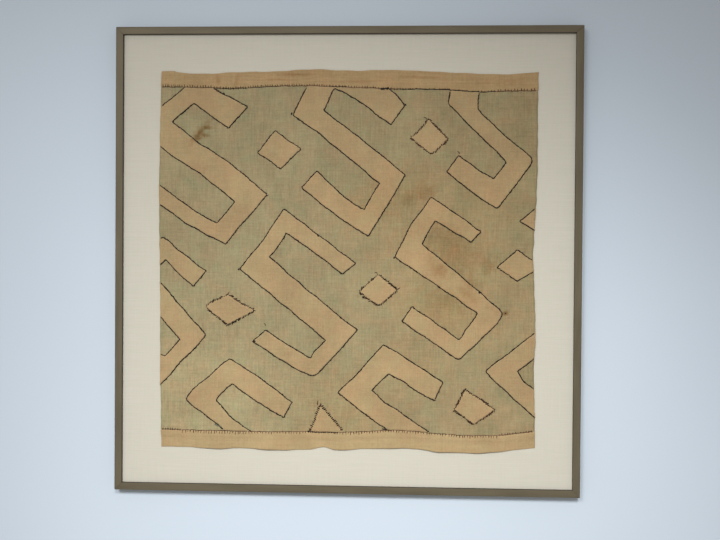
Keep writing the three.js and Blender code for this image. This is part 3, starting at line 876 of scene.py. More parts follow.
def noise(tree, place, scale, detail=2.0, roughness=0.5):
    """A smooth noise between 0 and 1, with so many waves in a metre as its scale says."""
    inputs = {"Vector": place, "Scale": scale, "Detail": detail, "Roughness": roughness}
    return add_node(tree, "ShaderNodeTexNoise", inputs).outputs["Fac"]


def stretched(tree, place, scale, offset=(0.0, 0.0, 0.0)):
    """A place with each axis drawn out by its own factor."""
    inputs = {"Vector": place, "Scale": scale, "Location": offset}
    return add_node(tree, "ShaderNodeMapping", inputs).outputs[0]


def attribute_of(tree, name, output="Fac"):
    """What a mesh keeps with its points under a name."""
    return add_node(tree, "ShaderNodeAttribute", attribute_name=name).outputs[output]


def add_bump(tree, shader, height, strength, distance):
    """Lets a height stand out of the surface, by a distance in millimetres where it is 1."""
    inputs = {"Height": height, "Strength": strength, "Distance": distance * MM}
    bump = add_node(tree, "ShaderNodeBump", inputs)
    tree.links.new(bump.outputs[0], shader.inputs["Normal"])


def new_material(name):
    """An empty material, its nodes, its shader, and the place of each point on the object."""
    material = bpy.data.materials.new(name)
    material.use_nodes = True
    tree = material.node_tree
    place = tree.nodes.new("ShaderNodeTexCoord").outputs["Object"]
    return material, tree, tree.nodes["Principled BSDF"], place


def weave(tree, place, pitch, meander):
    """Plain weave. A thread's number is its place over the pitch, bent by a slow meander, and its
    height the size of the sine of that. The warp is on top where the two sines have one sign. A
    thread's tone is a noise along it, read at a row of its own."""
    axes = add_node(tree, "ShaderNodeSeparateXYZ", {0: place})
    slow = {"Vector": place, "Scale": BEND_SCALE, "Detail": 2.0}
    bend = add_node(tree, "ShaderNodeTexNoise", slow)
    bends = add_node(tree, "ShaderNodeSeparateColor", {0: bend.outputs["Color"]})
    threads = []
    for axis in (0, 1):
        moved = maths(tree, "MULTIPLY", bends.outputs[axis], meander)
        threads.append(maths(tree, "MULTIPLY_ADD", axes.outputs[axis], 1 / (pitch * MM), moved))
    waves = [maths(tree, "SINE", maths(tree, "MULTIPLY", thread, math.pi)) for thread in threads]
    both = maths(tree, "MULTIPLY", waves[0], waves[1])
    warp_on_top = scaled(tree, both, CROSSING_SHARPNESS, 0.5)
    heights = [maths(tree, "ABSOLUTE", wave) for wave in waves]
    numbers = [maths(tree, "FLOOR", thread) for thread in threads]
    tones = []
    for axis in (0, 1):
        along = maths(tree, "MULTIPLY", axes.outputs[1 - axis], TONE_SCALE)
        row = maths(tree, "MULTIPLY", numbers[axis], TONE_ROW)
        tone_place = add_node(tree, "ShaderNodeCombineXYZ", {0: row, 1: along, 2: 3.0 * axis})
        tones.append(noise(tree, tone_place.outputs[0], 1.0, detail=3.0, roughness=0.6))
    height = pick(tree, warp_on_top, heights[1], heights[0])
    tone = pick(tree, warp_on_top, tones[1], tones[0])
    return height, tone


def pick(tree, share, first, second):
    """A number between two: the first where the share is 0 and the second where it is 1."""
    made = add_node(tree, "ShaderNodeMix", {0: share, 2: first, 3: second}, data_type="FLOAT")
    return made.outputs[0]


def streaks(tree, place, fine, long):
    """Uneven bands of threads, up the cloth and across it: two noises drawn out along their threads."""
    made = []
    for scale, offset in [((fine, long, 1.0), (0.0, 0.0, 0.0)), ((long, fine, 1.0), (5.0, 3.0, 0.0))]:
        drawn_out = stretched(tree, place, scale, offset)
        made.append(noise(tree, drawn_out, 1.0, detail=3.0, roughness=0.6))
    return made


def mark_depth(tree, place, marks):
    """How strongly the marks of age show at a place: for each a bell in its own turned axes, its edge
    broken by noise, and of all of them the strongest."""
    rough = noise(tree, place, MARK_SCALE, detail=5.0, roughness=0.7)
    total = None
    for mark in marks:
        axes = {
            "Vector": place,
            "Location": (mark["x"] * MM, mark["y"] * MM, 0.0),
            "Rotation": (0.0, 0.0, math.radians(mark["turn"])),
            "Scale": (mark["across"] * MM, mark["up"] * MM, 1.0),
        }
        centred = add_node(tree, "ShaderNodeMapping", axes, vector_type="TEXTURE").outputs[0]
        level = {0: centred, 1: (1.0, 1.0, 0.0)}
        flat = add_node(tree, "ShaderNodeVectorMath", level, operation="MULTIPLY").outputs[0]
        away = add_node(tree, "ShaderNodeVectorMath", {0: flat}, operation="LENGTH")
        edge = maths(tree, "MULTIPLY_ADD", rough, -MARK_BREAKING, away.outputs["Value"])
        limits = {"From Min": MARK_OUTSIDE, "From Max": MARK_INSIDE, "To Min": 0.0, "To Max": mark["depth"]}
        limits["Value"] = edge
        fade = add_node(tree, "ShaderNodeMapRange", limits, interpolation_type="SMOOTHSTEP")
        shown = fade.outputs[0]
        total = shown if total is None else maths(tree, "MAXIMUM", total, shown)
    return total


def raffia(
    name, dark, light, gap, band_size, warp_share, band_depth, cloud_depth, hue_depth, browning
):
    """Raffia cloth. Its colour lies between a dark and a light one by the tone of the thread on top,
    by the bands of threads around it, by specks and by clouds. It turns redder and greener in other
    clouds, has painted shade, a darker colour, in the gaps of the weave, and takes the marks of age,
    and its share of the browning and fading."""
    material, tree, shader, place = new_material(name)
    height, tone = weave(tree, place, RAFFIA_PITCH, meander=3.0)
    upright, level = streaks(tree, place, *band_size)
    bands = pick(tree, warp_share, level, upright)
    specks = noise(tree, place, SPECK_SCALE, detail=3.0, roughness=0.75)
    clouds = noise(tree, place, CLOUD_SCALE, detail=6.0, roughness=0.68)
    elsewhere = stretched(tree, place, (1.0, 1.0, 1.0), (3.0, 7.0, 0.0))
    hues = noise(tree, elsewhere, HUE_SCALE, detail=5.0, roughness=0.7)
    share = swung(tree, bands, band_depth)
    share = swung(tree, specks, SPECK_DEPTH, share)
    share = swung(tree, tone, THREAD_DEPTH, share)
    share = swung(tree, clouds, cloud_depth, share)
    share = maths(tree, "ADD", share, 0.5, clamp=True)
    colour = mix_colours(tree, share, dark, light)
    tint = mix_colours(tree, scaled(tree, hues, *HUE_RANGE), GREENER, REDDER)
    colour = mix_colours(tree, hue_depth, colour, tint, "MULTIPLY")
    # painted shade: darker in the gaps of the weave, where its height is low
    gap_shade_share = maths(tree, "MULTIPLY", scaled(tree, height, *GAP_SHADE_RANGE), RAFFIA_GAP_SHADE_SHARE)
    colour = mix_colours(tree, gap_shade_share, colour, gap)
    colour = mix_colours(tree, mark_depth(tree, place, STAINS), colour, STAIN_TINT, "MULTIPLY")
    for marks, tint in [(BROWNINGS, BROWN_TINT), (FADINGS, FADED_TINT)]:
        depth = maths(tree, "MULTIPLY", mark_depth(tree, place, marks), browning)
        colour = mix_colours(tree, depth, colour, tint, "MULTIPLY")
    finish = {"Roughness": 0.78, "Specular IOR Level": 0.3, "Sheen Weight": 0.12, "Sheen Roughness": 0.5}
    set_inputs(tree, shader, {"Base Color": colour, **finish})
    relief = maths(tree, "MULTIPLY_ADD", tone, 0.8, height)
    add_bump(tree, shader, relief, strength=0.55, distance=0.25)
    return material


def linen_cloth():
    """Natural linen: a fine plain weave, its colour by the bands and the tone of its threads, painted shade
    in the gaps of the weave, and sparse thick slubs where a drawn-out noise passes a threshold."""
    material, tree, shader, place = new_material("natural linen")
    height, tone = weave(tree, place, LINEN_PITCH, meander=4.0)
    upright, level = streaks(tree, place, *LINEN_BAND_SIZE)
    bands = pick(tree, LINEN_LEVEL_SHARE, upright, level)
    colour = mix_colours(tree, scaled(tree, bands, *LINEN_BAND_RANGE), LINEN_DARK, LINEN_LIGHT)
    thread_share = maths(tree, "MULTIPLY", scaled(tree, tone, *LINEN_TONE_RANGE), LINEN_TONE_SHARE)
    colour = mix_colours(tree, thread_share, colour, LINEN_THREAD)
    # painted shade: darker in the gaps of the weave, where its height is low
    gap_shade_share = maths(tree, "MULTIPLY", scaled(tree, height, *GAP_SHADE_RANGE), LINEN_GAP_SHADE_SHARE)
    colour = mix_colours(tree, gap_shade_share, colour, LINEN_GAP_SHADE)
    slubs = scaled(tree, maths(tree, "MAXIMUM", upright, level), *SLUB_RANGE)
    colour = mix_colours(tree, maths(tree, "MULTIPLY", slubs, SLUB_SHARE), colour, LINEN_THREAD)
    finish = {"Roughness": 0.85, "Specular IOR Level": 0.25, "Sheen Weight": 0.1}
    set_inputs(tree, shader, {"Base Color": colour, **finish})
    relief = maths(tree, "MULTIPLY_ADD", slubs, 0.8, height)
    add_bump(tree, shader, relief, strength=0.5, distance=0.18)
    return material


def bronze():
    """Satin bronze: brushing is a noise drawn out along the rail, read from the mesh's own running
    lengths, with slow clouds of darker patina over it, and painted shade, near black, on the inner side
    towards the linen."""
    material, tree, shader, _ = new_material("satin bronze")
    run = attribute_of(tree, "run", "Vector")
    brushed = noise(tree, stretched(tree, run, BRUSHING_SCALE), 1.0, detail=3.0, roughness=0.6)
    clouds = noise(tree, stretched(tree, run, PATINA_SCALE), 1.0, detail=4.0, roughness=0.55)
    patina = maths(tree, "MULTIPLY", clouds, PATINA_DEPTH)
    share = maths(tree, "MULTIPLY_ADD", brushed, BRUSHING_DEPTH, patina)
    share = maths(tree, "SUBTRACT", share, BRONZE_LESS, clamp=True)
    colour = mix_colours(tree, share, BRONZE_DARK, BRONZE_LIGHT)
    # painted shade: the inner side of the lip and the edge above it turn near black
    colour = mix_colours(tree, attribute_of(tree, "painted_lip_shade"), colour, BRONZE_PAINTED_SHADE)
    roughness = maths(tree, "MULTIPLY_ADD", brushed, *BRONZE_ROUGHNESS)
    set_inputs(tree, shader, {"Base Color": colour, "Metallic": 0.35, "Roughness": roughness})
    add_bump(tree, shader, brushed, strength=0.12, distance=0.05)
    return material


def thread(name, dark, light):
    """Raffia thread: the colour lies between two by the stitch's own tone, with fine fibres as bump."""
    material, tree, shader, place = new_material(name)
    tone = maths(tree, "SUBTRACT", attribute_of(tree, "tone"), 0.25)
    fibre = noise(tree, place, FIBRE_SCALE, detail=2.0, roughness=0.6)
    share = scaled(tree, fibre, 0.5, tone)
    colour = mix_colours(tree, share, dark, light)
    finish = {"Roughness": 0.7, "Specular IOR Level": 0.3}
    set_inputs(tree, shader, {"Base Color": colour, **finish})
    add_bump(tree, shader, fibre, strength=0.5, distance=0.15)
    return material


def grey_board():
    """Pressed board: two greys by a fine noise, with the same noise as bump."""
    material, tree, shader, place = new_material("pressed board")
    grain = noise(tree, place, GRAIN_SCALE, detail=5.0, roughness=0.65)
    colour = mix_colours(tree, grain, BOARD_DARK, BOARD_LIGHT)
    set_inputs(tree, shader, {"Base Color": colour, "Roughness": 0.9})
    add_bump(tree, shader, grain, strength=0.3, distance=0.2)
    return material


def floor_finish():
    """A pale, slightly blue floor with a faint slow unevenness."""
    material, tree, shader, place = new_material("pale floor")
    slow = noise(tree, place, FLOOR_SCALE)
    colour = mix_colours(tree, slow, FLOOR_DARK, FLOOR_LIGHT)
    set_inputs(tree, shader, {"Base Color": colour, "Roughness": 0.8})
    return material


# The frame and its board


def quarter(middle, radius, start, steps=5):
    """Points on a quarter of a circle, turning clockwise from a starting angle in degrees."""
    angles = np.radians(start - np.linspace(0, 90, steps))
    return np.array(middle) + radius * np.column_stack([np.cos(angles), np.sin(angles)])


def rail_section():
    """A rail's section, across from its outer side and up from the back. The face between its two
    rounded edges is a low parabola, and the back has the rebate that holds the board."""
    rebate = FACE_WIDTH - LIP_WIDTH
    shoulder = FRAME_DEPTH - CROWN
    share = np.linspace(0, 1, 9)[1:-1]
    face_across = OUTER_ROUND + share * (FACE_WIDTH - OUTER_ROUND - INNER_ROUND)
    face_up = FRAME_DEPTH - CROWN * (2 * share - 1) ** 2
    lip_low = BOARD_TOP + GAP
    return np.concatenate([
        quarter((ARRIS, ARRIS), ARRIS, 270, 3),
        quarter((OUTER_ROUND, shoulder - OUTER_ROUND), OUTER_ROUND, 180, 6),
        np.column_stack([face_across, face_up]),
        quarter((FACE_WIDTH - INNER_ROUND, shoulder - INNER_ROUND), INNER_ROUND, 90),
        quarter((FACE_WIDTH - ARRIS, lip_low + ARRIS), ARRIS, 0, 3),
        [(rebate, lip_low)],
        quarter((rebate - ARRIS, ARRIS), ARRIS, 0, 3),
    ])


def frame_rail(side, turn, material):
    """The section carried along a side of the frame: each point runs as far as the mitre lets it, half
    the side less its distance inwards. turn is the number of quarter turns from the bottom."""
    section = rail_section()
    across, up = section.T
    half = FRAME_HALF - across - GAP / math.sqrt(2)
    shares = np.linspace(-1, 1, RAIL_STEPS)[:, None]
    along = shares * half
    out = np.broadcast_to(across - FRAME_HALF, along.shape)
    angle = turn * math.pi / 2
    x = along * math.cos(angle) - out * math.sin(angle)
    y = along * math.sin(angle) + out * math.cos(angle)
    z = np.broadcast_to(up, along.shape)
    number = np.arange(along.size).reshape(along.shape)
    onward = np.roll(number, -1, axis=1)
    sides = np.stack([number[:-1], number[1:], onward[1:], onward[:-1]], axis=-1).reshape(-1, 4)
    ends = [number[0].tolist(), number[-1][::-1].tolist()]
    points = np.column_stack([x.ravel(), y.ravel(), z.ravel()])
    rail = new_piece(f"bronze_rail_{side}", points, sides.tolist() + ends, material)
    rail.data.set_sharp_from_angle(angle=math.radians(50))
    lengths = np.concatenate([[0], np.cumsum(np.hypot(*np.diff(section, axis=0).T))])
    around = np.broadcast_to(lengths, along.shape)
    run = np.stack([along, around, np.full(along.shape, 1000.0 * turn)], axis=-1) * MM
    add_values(rail, "run", run, "FLOAT_VECTOR")
    # painted shade: marks the inner side of the lip and the edge above it, to be painted near black
    painted_lip_shade = smooth_step(FACE_WIDTH - 0.5 * INNER_ROUND, FACE_WIDTH, across) * (up > BOARD_TOP)
    add_values(rail, "painted_lip_shade", np.broadcast_to(painted_lip_shade, along.shape))
    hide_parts(f"frame_rail_{side}")
    return rail


def shell_profile(half, round_off, depth, cell):
    """One axis of a board's cover from its middle outwards: places across, and how far it has dropped,
    level to the rounded edge, then a quarter circle, then straight down."""
    level = np.linspace(0, half - round_off, int(half // cell))
    angles = np.radians([30, 60, 90])
    down = np.linspace(round_off, depth, 4)[1:]
    across = np.concatenate([level, half - round_off * (1 - np.sin(angles)), np.full(3, half)])
    drop = np.concatenate([np.zeros(len(level)), round_off * (1 - np.cos(angles)), down])
    return np.concatenate([-across[:0:-1], across]), np.concatenate([drop[:0:-1], drop])


def board_shell(name, half, top, round_off, depth, cell, material, slot):
    """A cover over a square board: a grid of places across and up, each as low as the further dropped
    of its two axes says. Where both axes are on the sides the cover has been folded away."""
    across, drop = shell_profile(half, round_off, depth, cell)
    x, y = np.meshgrid(across, across)
    drop_x, drop_y = np.meshgrid(drop, drop)
    z = top - np.maximum(drop_x, drop_y)
    kept = ~((drop_x > round_off) & (drop_y > round_off))
    return grid_piece(name, x, y, z, material, slot, kept)


def mounting_board(linen, board):
    """The board and the linen over its face and sides, one behind the other."""
    cover = board_shell(
        "linen_cover", BOARD_HALF, BOARD_TOP, BOARD_ROUND, BOARD_THICK, LINEN_CELL, linen, "linen"
    )
    thicken(cover, LINEN_THICK)
    inner = BOARD_HALF - LINEN_THICK - BEHIND_LINEN
    face = BOARD_TOP - LINEN_THICK - BEHIND_LINEN
    depth = face - BOARD_TOP + BOARD_THICK
    core = board_shell(
        "backing_board", inner, face, BOARD_ROUND / 2, depth, inner / 2, board, "linen"
    )
    thicken(core, BOARD_THICK - LINEN_THICK - 2 * BEHIND_LINEN)
    for piece in (cover, core):
        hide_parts("linen_board")
    return cover


# The cloth


def close_at_ends(count):
    """Shares from 0 to 1, closest together at both: a half less half the cosine of even steps."""
    return 0.5 - 0.5 * np.cos(np.linspace(0, math.pi, count))


def ground_cloth(material):
    """The dyed cloth: a grid from edge to edge and from a tuck below the lower seam to a tuck above
    the upper one, lifted off the board."""
    columns = round(CLOTH_WIDTH / CELL)
    share, up = np.meshgrid(np.linspace(0, 1, columns + 1), np.linspace(0, 1, columns))
    nominal = (share - 0.5) * CLOTH_WIDTH
    low = bottom_seam(nominal) - TUCK
    high = top_seam(nominal) + TUCK
    y = low + (high - low) * up
    x = left_edge(y) + (right_edge(y) - left_edge(y)) * share
    z = GROUND_TOP + lift(x, y)
    piece = grid_piece("ground_cloth_woven", x, y, z, material, "dyed_raffia")
    thicken(piece, GROUND_THICK)
    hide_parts("ground_cloth")
    height = (top_seam(0) - bottom_seam(0) + 2 * TUCK) * MM
    return piece


def border_strip(side, seam, edge, material):
    """A border strip: a grid along the seam and out to the strip's edge, its rows closest together at
    both, each point as high as its distance out says."""
    columns = round(CLOTH_WIDTH / STRIP_CELL)
    share, outwards = np.meshgrid(np.linspace(0, 1, columns + 1), close_at_ends(ACROSS_STEPS + 1))
    nominal = (share - 0.5) * CLOTH_WIDTH
    start = seam(nominal)
    width = np.abs(edge(nominal) - start)
    y = start + (edge(nominal) - start) * outwards
    x = left_edge(y) + (right_edge(y) - left_edge(y)) * share
    out = width * outwards
    z = GROUND_TOP + lift(x, y) + strip_rise(out, width) + gathers(x, out)
    name = f"border_strip_{side}_woven"
    piece = grid_piece(name, x, y, z, material, "undyed_raffia_strip", flip=edge(0) < 0)
    thicken(piece, SEWN_THICK)
    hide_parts(f"border_strip_{side}")
    return piece


def held_inside(x, y):
    """Moves what lies past the side edges or the seams back onto them. The third array says what lay
    inside."""
    low = bottom_seam(x) + GAP
    high = top_seam(x) - GAP
    inside = (y > low) & (y < high) & (x > left_edge(y)) & (x < right_edge(y))
    held_y = np.clip(y, low, high)
    held_x = np.clip(x, left_edge(held_y), right_edge(held_y))
    return held_x, held_y, inside


def flat_size(x, y):
    """The smallest upright box round a flat piece, over the ways that it may be turned."""
    angles = np.radians(np.arange(0, 180, 3))[:, None]
    along = x * np.cos(angles) + y * np.sin(angles)
    aside = y * np.cos(angles) - x * np.sin(angles)
    sizes = np.column_stack([np.ptp(along, axis=1), np.ptp(aside, axis=1)])
    return sizes[np.argmin(sizes.prod(axis=1))] * MM


def sewn_piece(name, node, x, y, inwards, material, sewing):
    """A piece sewn onto the ground cloth: a grid of places, each as high as its distance in from the
    piece's edge or from a border strip's seam says, cut off at the cloth's edges and seams."""
    held_x, held_y, inside = held_inside(x, y)
    from_seam = np.minimum(top_seam(held_x) - held_y, held_y - bottom_seam(held_x))
    inwards = np.minimum(inwards, from_seam)
    height, wavelength = PUFF
    puff = height * wander(held_x, held_y, wavelength, 9) * smooth_step(PUFF_START, PUFF_FULL, inwards)
    z = GROUND_TOP + lift(held_x, held_y) + sewn_rise(inwards) + puff
    piece = grid_piece(name, held_x, held_y, z, material, "undyed_raffia_piece", inside)
    thicken(piece, SEWN_THICK)
    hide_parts(node)
    width, length = flat_size(held_x[inside], held_y[inside])
    return piece


def bend_corner(way_in, half_in, way_out, half_out):
    """From a bend of a centre line to the corner on its left, where the sides of two bars meet."""
    side_in = left_of(way_in)
    side_out = left_of(way_out)
    crossing = side_in[0] * side_out[1] - side_in[1] * side_out[0]
    return np.array([
        half_in * side_out[1] - half_out * side_in[1],
        half_out * side_in[0] - half_in * side_out[0],
    ]) / crossing


def tip_corner(way, half, cut):
    """From an arm's tip to its corner on the left, along the cut."""
    along = heading(cut)
    return along * half / (along @ left_of(way))


def hook_line(hook):
    """The six points of a hook's centre line: half the spine to either side of its middle, and from
    each end of it a link and then an arm, each its own length along its own lean."""
    upper, lower = hook["upper"], hook["lower"]
    middle = np.array([hook["x"], hook["y"]], float)
    spine = heading(-hook["fall"]) * hook["long"] / 2
    upper_root = middle - spine + heading(upper["lean"]) * upper["link"]
    upper_tip = upper_root + heading(-upper["fall"]) * upper["arm"]
    lower_root = middle + spine - heading(lower["lean"]) * lower["link"]
    lower_tip = lower_root - heading(-lower["fall"]) * lower["arm"]
    return np.array([upper_tip, upper_root, middle - spine, middle + spine, lower_root, lower_tip])


def hook_sides(number, hook):
    """The left and right side of a hook, from the upper arm's tip to the lower one's: points a station
    apart on the bowed centre line, plus and less the way to the corner, which changes evenly along
    each bar, moved by a bell for each stray. The last value lists where each of the centre line's six
    points comes."""
    upper, lower = hook["upper"], hook["lower"]
    line = hook_line(hook)
    bars = np.diff(line, axis=0)
    lengths = np.hypot(*bars.T)
    ways = bars / lengths[:, None]
    halves = np.array([
        [upper["tip"], upper["root"]],
        [upper["thick"], upper["thick"]],
        [hook["wide"], hook["narrow"]],
        [lower["thick"], lower["thick"]],
        [lower["root"], lower["tip"]],
    ]) / 2
    corners = [tip_corner(ways[0], halves[0, 0], upper["cut"])]
    for k in range(1, len(bars)):
        corners.append(bend_corner(ways[k - 1], halves[k - 1, 1], ways[k], halves[k, 0]))
    corners.append(tip_corner(ways[-1], halves[-1, 1], lower["cut"]))
    centres, reaches, stations = [], [], [0]
    for k, bow in enumerate(hook["bows"]):
        steps = max(round(lengths[k] / STATION), 2)
        t = (np.arange(steps) / steps)[:, None]
        centres.append(line[k] + bars[k] * t + left_of(ways[k]) * bow * 4 * t * (1 - t))
        reaches.append(corners[k] + (corners[k + 1] - corners[k]) * t)
        stations.append(stations[-1] + steps)
    centre = np.vstack([*centres, line[-1]])
    reach = np.vstack([*reaches, corners[-1]])
    sides = {"left": centre + reach, "right": centre - reach}
    places = np.arange(len(centre))
    run = np.concatenate([[0], np.cumsum(np.hypot(*np.diff(centre, axis=0).T))])
    for stray in STRAYS:
        if stray["hook"] == number:
            bar = stray["bar"]
            at = np.interp(stations[bar] + stray["at"] * (stations[bar + 1] - stations[bar]), places, run)
            bell = np.exp(-(((run - at) / stray["spread"]) ** 2))
            sides[stray["side"]] += bell[:, None] * stray["by"] * left_of(ways[bar])
    for name in sides:
        sides[name] = soften(sides[name], SOFTENINGS, np.ones(len(places)))
    for corner in ROUND_CORNERS:
        if corner["hook"] == number:
            share = np.exp(-(((places - stations[corner["corner"]]) / SOFT_POINTS) ** 2))
            sides[corner["side"]] = soften(sides[corner["side"]], corner["times"], share)
    return sides["left"], sides["right"], stations


def soften(side, times, share):
    """Rounds a line's corners: each time a point moves its share of the way to the average of itself,
    taken twice, and its two neighbours. The ends stay."""
    for _ in range(times):
        average = (side[:-2] + 2 * side[1:-1] + side[2:]) / 4
        moved = side[1:-1] + (average - side[1:-1]) * share[1:-1, None]
        side = np.vstack([side[:1], moved, side[-1:]])
    return side


def read_line(line, places):
    """Points of a line at places between its numbered points."""
    return np.column_stack([np.interp(places, np.arange(len(line)), line[:, k]) for k in range(2)])


def hook_grid(number, hook):
    """A hook's surface: along it the stations, with more just behind each tip, and across it shares of
    the way from the left side to the right, closest together at the sides. Behind a tip the two
    sides draw in by the height of a circle, which rounds the tip's corners."""
    left, right, stations = hook_sides(number, hook)
    last = len(left) - 1
    steps = [np.hypot(*(left[1] + right[1] - left[0] - right[0])) / 2]
    steps.append(np.hypot(*(left[-2] + right[-2] - left[-1] - right[-1])) / 2)
    behind = [np.array(TIP_STEPS) / step for step in steps]
    rows = np.concatenate([behind[0], np.arange(2, last - 1), last - behind[1][::-1]])
    from_tip = np.minimum(rows * steps[0], (last - rows) * steps[1])
    starts, ends = read_line(left, rows), read_line(right, rows)
    across = ends - starts
    along = np.gradient((starts + ends) / 2, axis=0)
    along /= np.hypot(*along.T)[:, None]
    width = np.abs(across[:, 0] * along[:, 1] - across[:, 1] * along[:, 0])
    draw_in = TIP_ROUND - np.sqrt(TIP_ROUND**2 - np.clip(TIP_ROUND - from_tip, 0, None) ** 2)
    inset = (draw_in / width)[:, None]
    share = inset + (1 - 2 * inset) * close_at_ends(ACROSS_STEPS + 1)
    x = starts[:, :1] + across[:, :1] * share
    y = starts[:, 1:] + across[:, 1:] * share
    inwards = np.minimum(np.minimum(share, 1 - share) * width[:, None], from_tip[:, None])
    x, y = hand_cut(x, y)
    return x, y, inwards, np.searchsorted(rows, stations[SPINE_START])


def patch_grid(patch):
    """A patch's surface: the average of its four corners, weighted by two shares, with its corners
    drawn in a little, where both shares are near their ends, which rounds them. Each side is moved out
    by its bow times a parabola, and less and less towards the side across from it."""
    spread = np.sin(np.linspace(-math.pi / 2, math.pi / 2, PATCH_STEPS))
    a, b = np.meshgrid(spread, spread)
    draw_in = 1 - PATCH_CORNER_DRAW * (a * a * b * b) ** PATCH_CORNER_POWER
    u = (1 + a * draw_in) / 2
    v = (1 + b * draw_in) / 2
    middle = np.array([patch["x"], patch["y"]], float)
    top, right, bottom, left = (middle + patch[name] for name in ("top", "right", "bottom", "left"))
    weights = [(left, (1 - u) * (1 - v)), (bottom, u * (1 - v)), (right, u * v), (top, (1 - u) * v)]
    x = sum(corner[0] * weight for corner, weight in weights)
    y = sum(corner[1] * weight for corner, weight in weights)
    sides = [
        (left, top, v, 1 - u),
        (top, right, u, v),
        (right, bottom, v, u),
        (bottom, left, u, 1 - v),
    ]
    for bow, (start, end, along, near) in zip(patch["bows"], sides):
        way = (end - start) / np.hypot(*(end - start))
        out = left_of(way) * bow
        x = x + out[0] * 4 * along * (1 - along) * near
        y = y + out[1] * 4 * along * (1 - along) * near
    size_u = np.hypot(*(bottom - left + right - top)) / 2
    size_v = np.hypot(*(top - left + right - bottom)) / 2
    inwards = np.minimum(np.minimum(u, 1 - u) * size_u, np.minimum(v, 1 - v) * size_v)
    x, y = hand_cut(x, y)
    return x, y, inwards


# Stitches


def bead():
    """A stitch, one long, one wide and one high: rings across it whose radius is a half circle's height
    over its length, closed by a point at each end."""
    radii = 0.5 * np.sqrt(1 - (2 * BEAD_STATIONS) ** 2)
    angles = np.arange(BEAD_SIDES) * 2 * math.pi / BEAD_SIDES
    rings = [
        np.column_stack([np.full(BEAD_SIDES, at), radius * np.cos(angles), radius * np.sin(angles)])
        for at, radius in zip(BEAD_STATIONS, radii)
    ]
    points = np.vstack([[(-0.5, 0, 0)], *rings, [(0.5, 0, 0)]])
    around = np.arange(BEAD_SIDES)
    onward = np.roll(around, -1)
    first, last = 0, len(points) - 1
    triangles = [np.column_stack([np.full(BEAD_SIDES, first), 1 + onward, 1 + around])]
    for ring in range(len(radii) - 1):
        near, far = 1 + ring * BEAD_SIDES, 1 + (ring + 1) * BEAD_SIDES
        triangles.append(np.column_stack([near + around, near + onward, far + onward]))
        triangles.append(np.column_stack([near + around, far + onward, far + around]))
    end = 1 + (len(radii) - 1) * BEAD_SIDES
    triangles.append(np.column_stack([end + around, end + onward, np.full(BEAD_SIDES, last)]))
    return points, np.vstack(triangles)


def row_of_beads(name, places, turns, long, wide, uneven, surface, material, seed):
    """Many stitches as one mesh: the bead stretched, turned about the upright and moved to each place,
    every point then raised by the surface under it. Lengths and widths differ by the unevenness, and
    a slow sum of sines along the row makes the thread darker and paler."""
    points, triangles = bead()
    draw = np.random.default_rng(seed)
    count = len(places)
    long = long * draw.uniform(1 - uneven, 1 + uneven, count)
    wide = wide * draw.uniform(1 - uneven, 1 + uneven, count)
    along = points[:, 0] * long[:, None]
    aside = points[:, 1] * wide[:, None]
    x = places[:, :1] + along * np.cos(turns)[:, None] - aside * np.sin(turns)[:, None]
    y = places[:, 1:] + along * np.sin(turns)[:, None] + aside * np.cos(turns)[:, None]
    z = surface(x, y) + points[:, 2] * wide[:, None] * BEAD_FLAT
    starts = np.arange(count)[:, None, None] * len(points)
    faces = (triangles[None] + starts).reshape(-1, 3)
    flat = np.column_stack([x.ravel(), y.ravel(), z.ravel()])
    piece = new_piece(name, flat, faces.tolist(), material)
    drift, wavelength = TONE_DRIFT
    slow = drift * wander(places[:, 0], places[:, 1], wavelength, seed)
    tones = 0.5 + slow + draw.uniform(-TONE_SPREAD, TONE_SPREAD, count)
    add_values(piece, "tone", np.repeat(np.clip(tones, 0, 1), len(points)))
    return piece


def spaced(path, pitch, closed):
    """Places a pitch apart on a path and the path's turn at each, read off by its running length."""
    if closed:
        path = np.vstack([path, path[:1]])
    run = np.concatenate([[0], np.cumsum(np.hypot(*np.diff(path, axis=0).T))])
    count = max(round(run[-1] / pitch), 2)
    at = (np.arange(count) + 0.5) * run[-1] / count
    places, before, after = (
        np.column_stack([np.interp(at + shift, run, path[:, k]) for k in range(2)])
        for shift in (0.0, -0.4 * pitch, 0.4 * pitch)
    )
    return places, np.arctan2(after[:, 1] - before[:, 1], after[:, 0] - before[:, 0])


def outline_of(x, y):
    """The edge of a grid, round its four sides."""
    grid = np.stack([x, y], axis=-1)
    return np.vstack([grid[:, 0], grid[-1, 1:], grid[-2::-1, -1], grid[0, -2:0:-1]])


def on_edge(x, y):
    """The height of the thread along a sewn piece's edge."""
    return GROUND_TOP + lift(x, y) + EDGE_THREAD


def outline_stitches(name, x, y, kind, material, seed):
    """Stitches along a sewn piece's edge, left out where one of their ends is past the cloth's edges
    or seams."""
    sewing = SEWING[kind]
    draw = np.random.default_rng(seed)
    places, turns = spaced(outline_of(x, y), sewing["pitch"], closed=True)
    reach = sewing["long"] / 2 * np.column_stack([np.cos(turns), np.sin(turns)])
    inside = held_inside(*(places + reach).T)[2] & held_inside(*(places - reach).T)[2]
    places, turns = places[inside], turns[inside]
    stray = draw.normal(0, sewing["stray"], len(places))[:, None]
    places = places + stray * np.column_stack([-np.sin(turns), np.cos(turns)])
    turns = turns + np.radians(sewing["turn"] + draw.normal(0, TURN_SPREAD, len(turns)))
    sizes = (sewing["long"], sewing["wide"], sewing["uneven"])
    return row_of_beads(name, places, turns, *sizes, on_edge, material, seed)


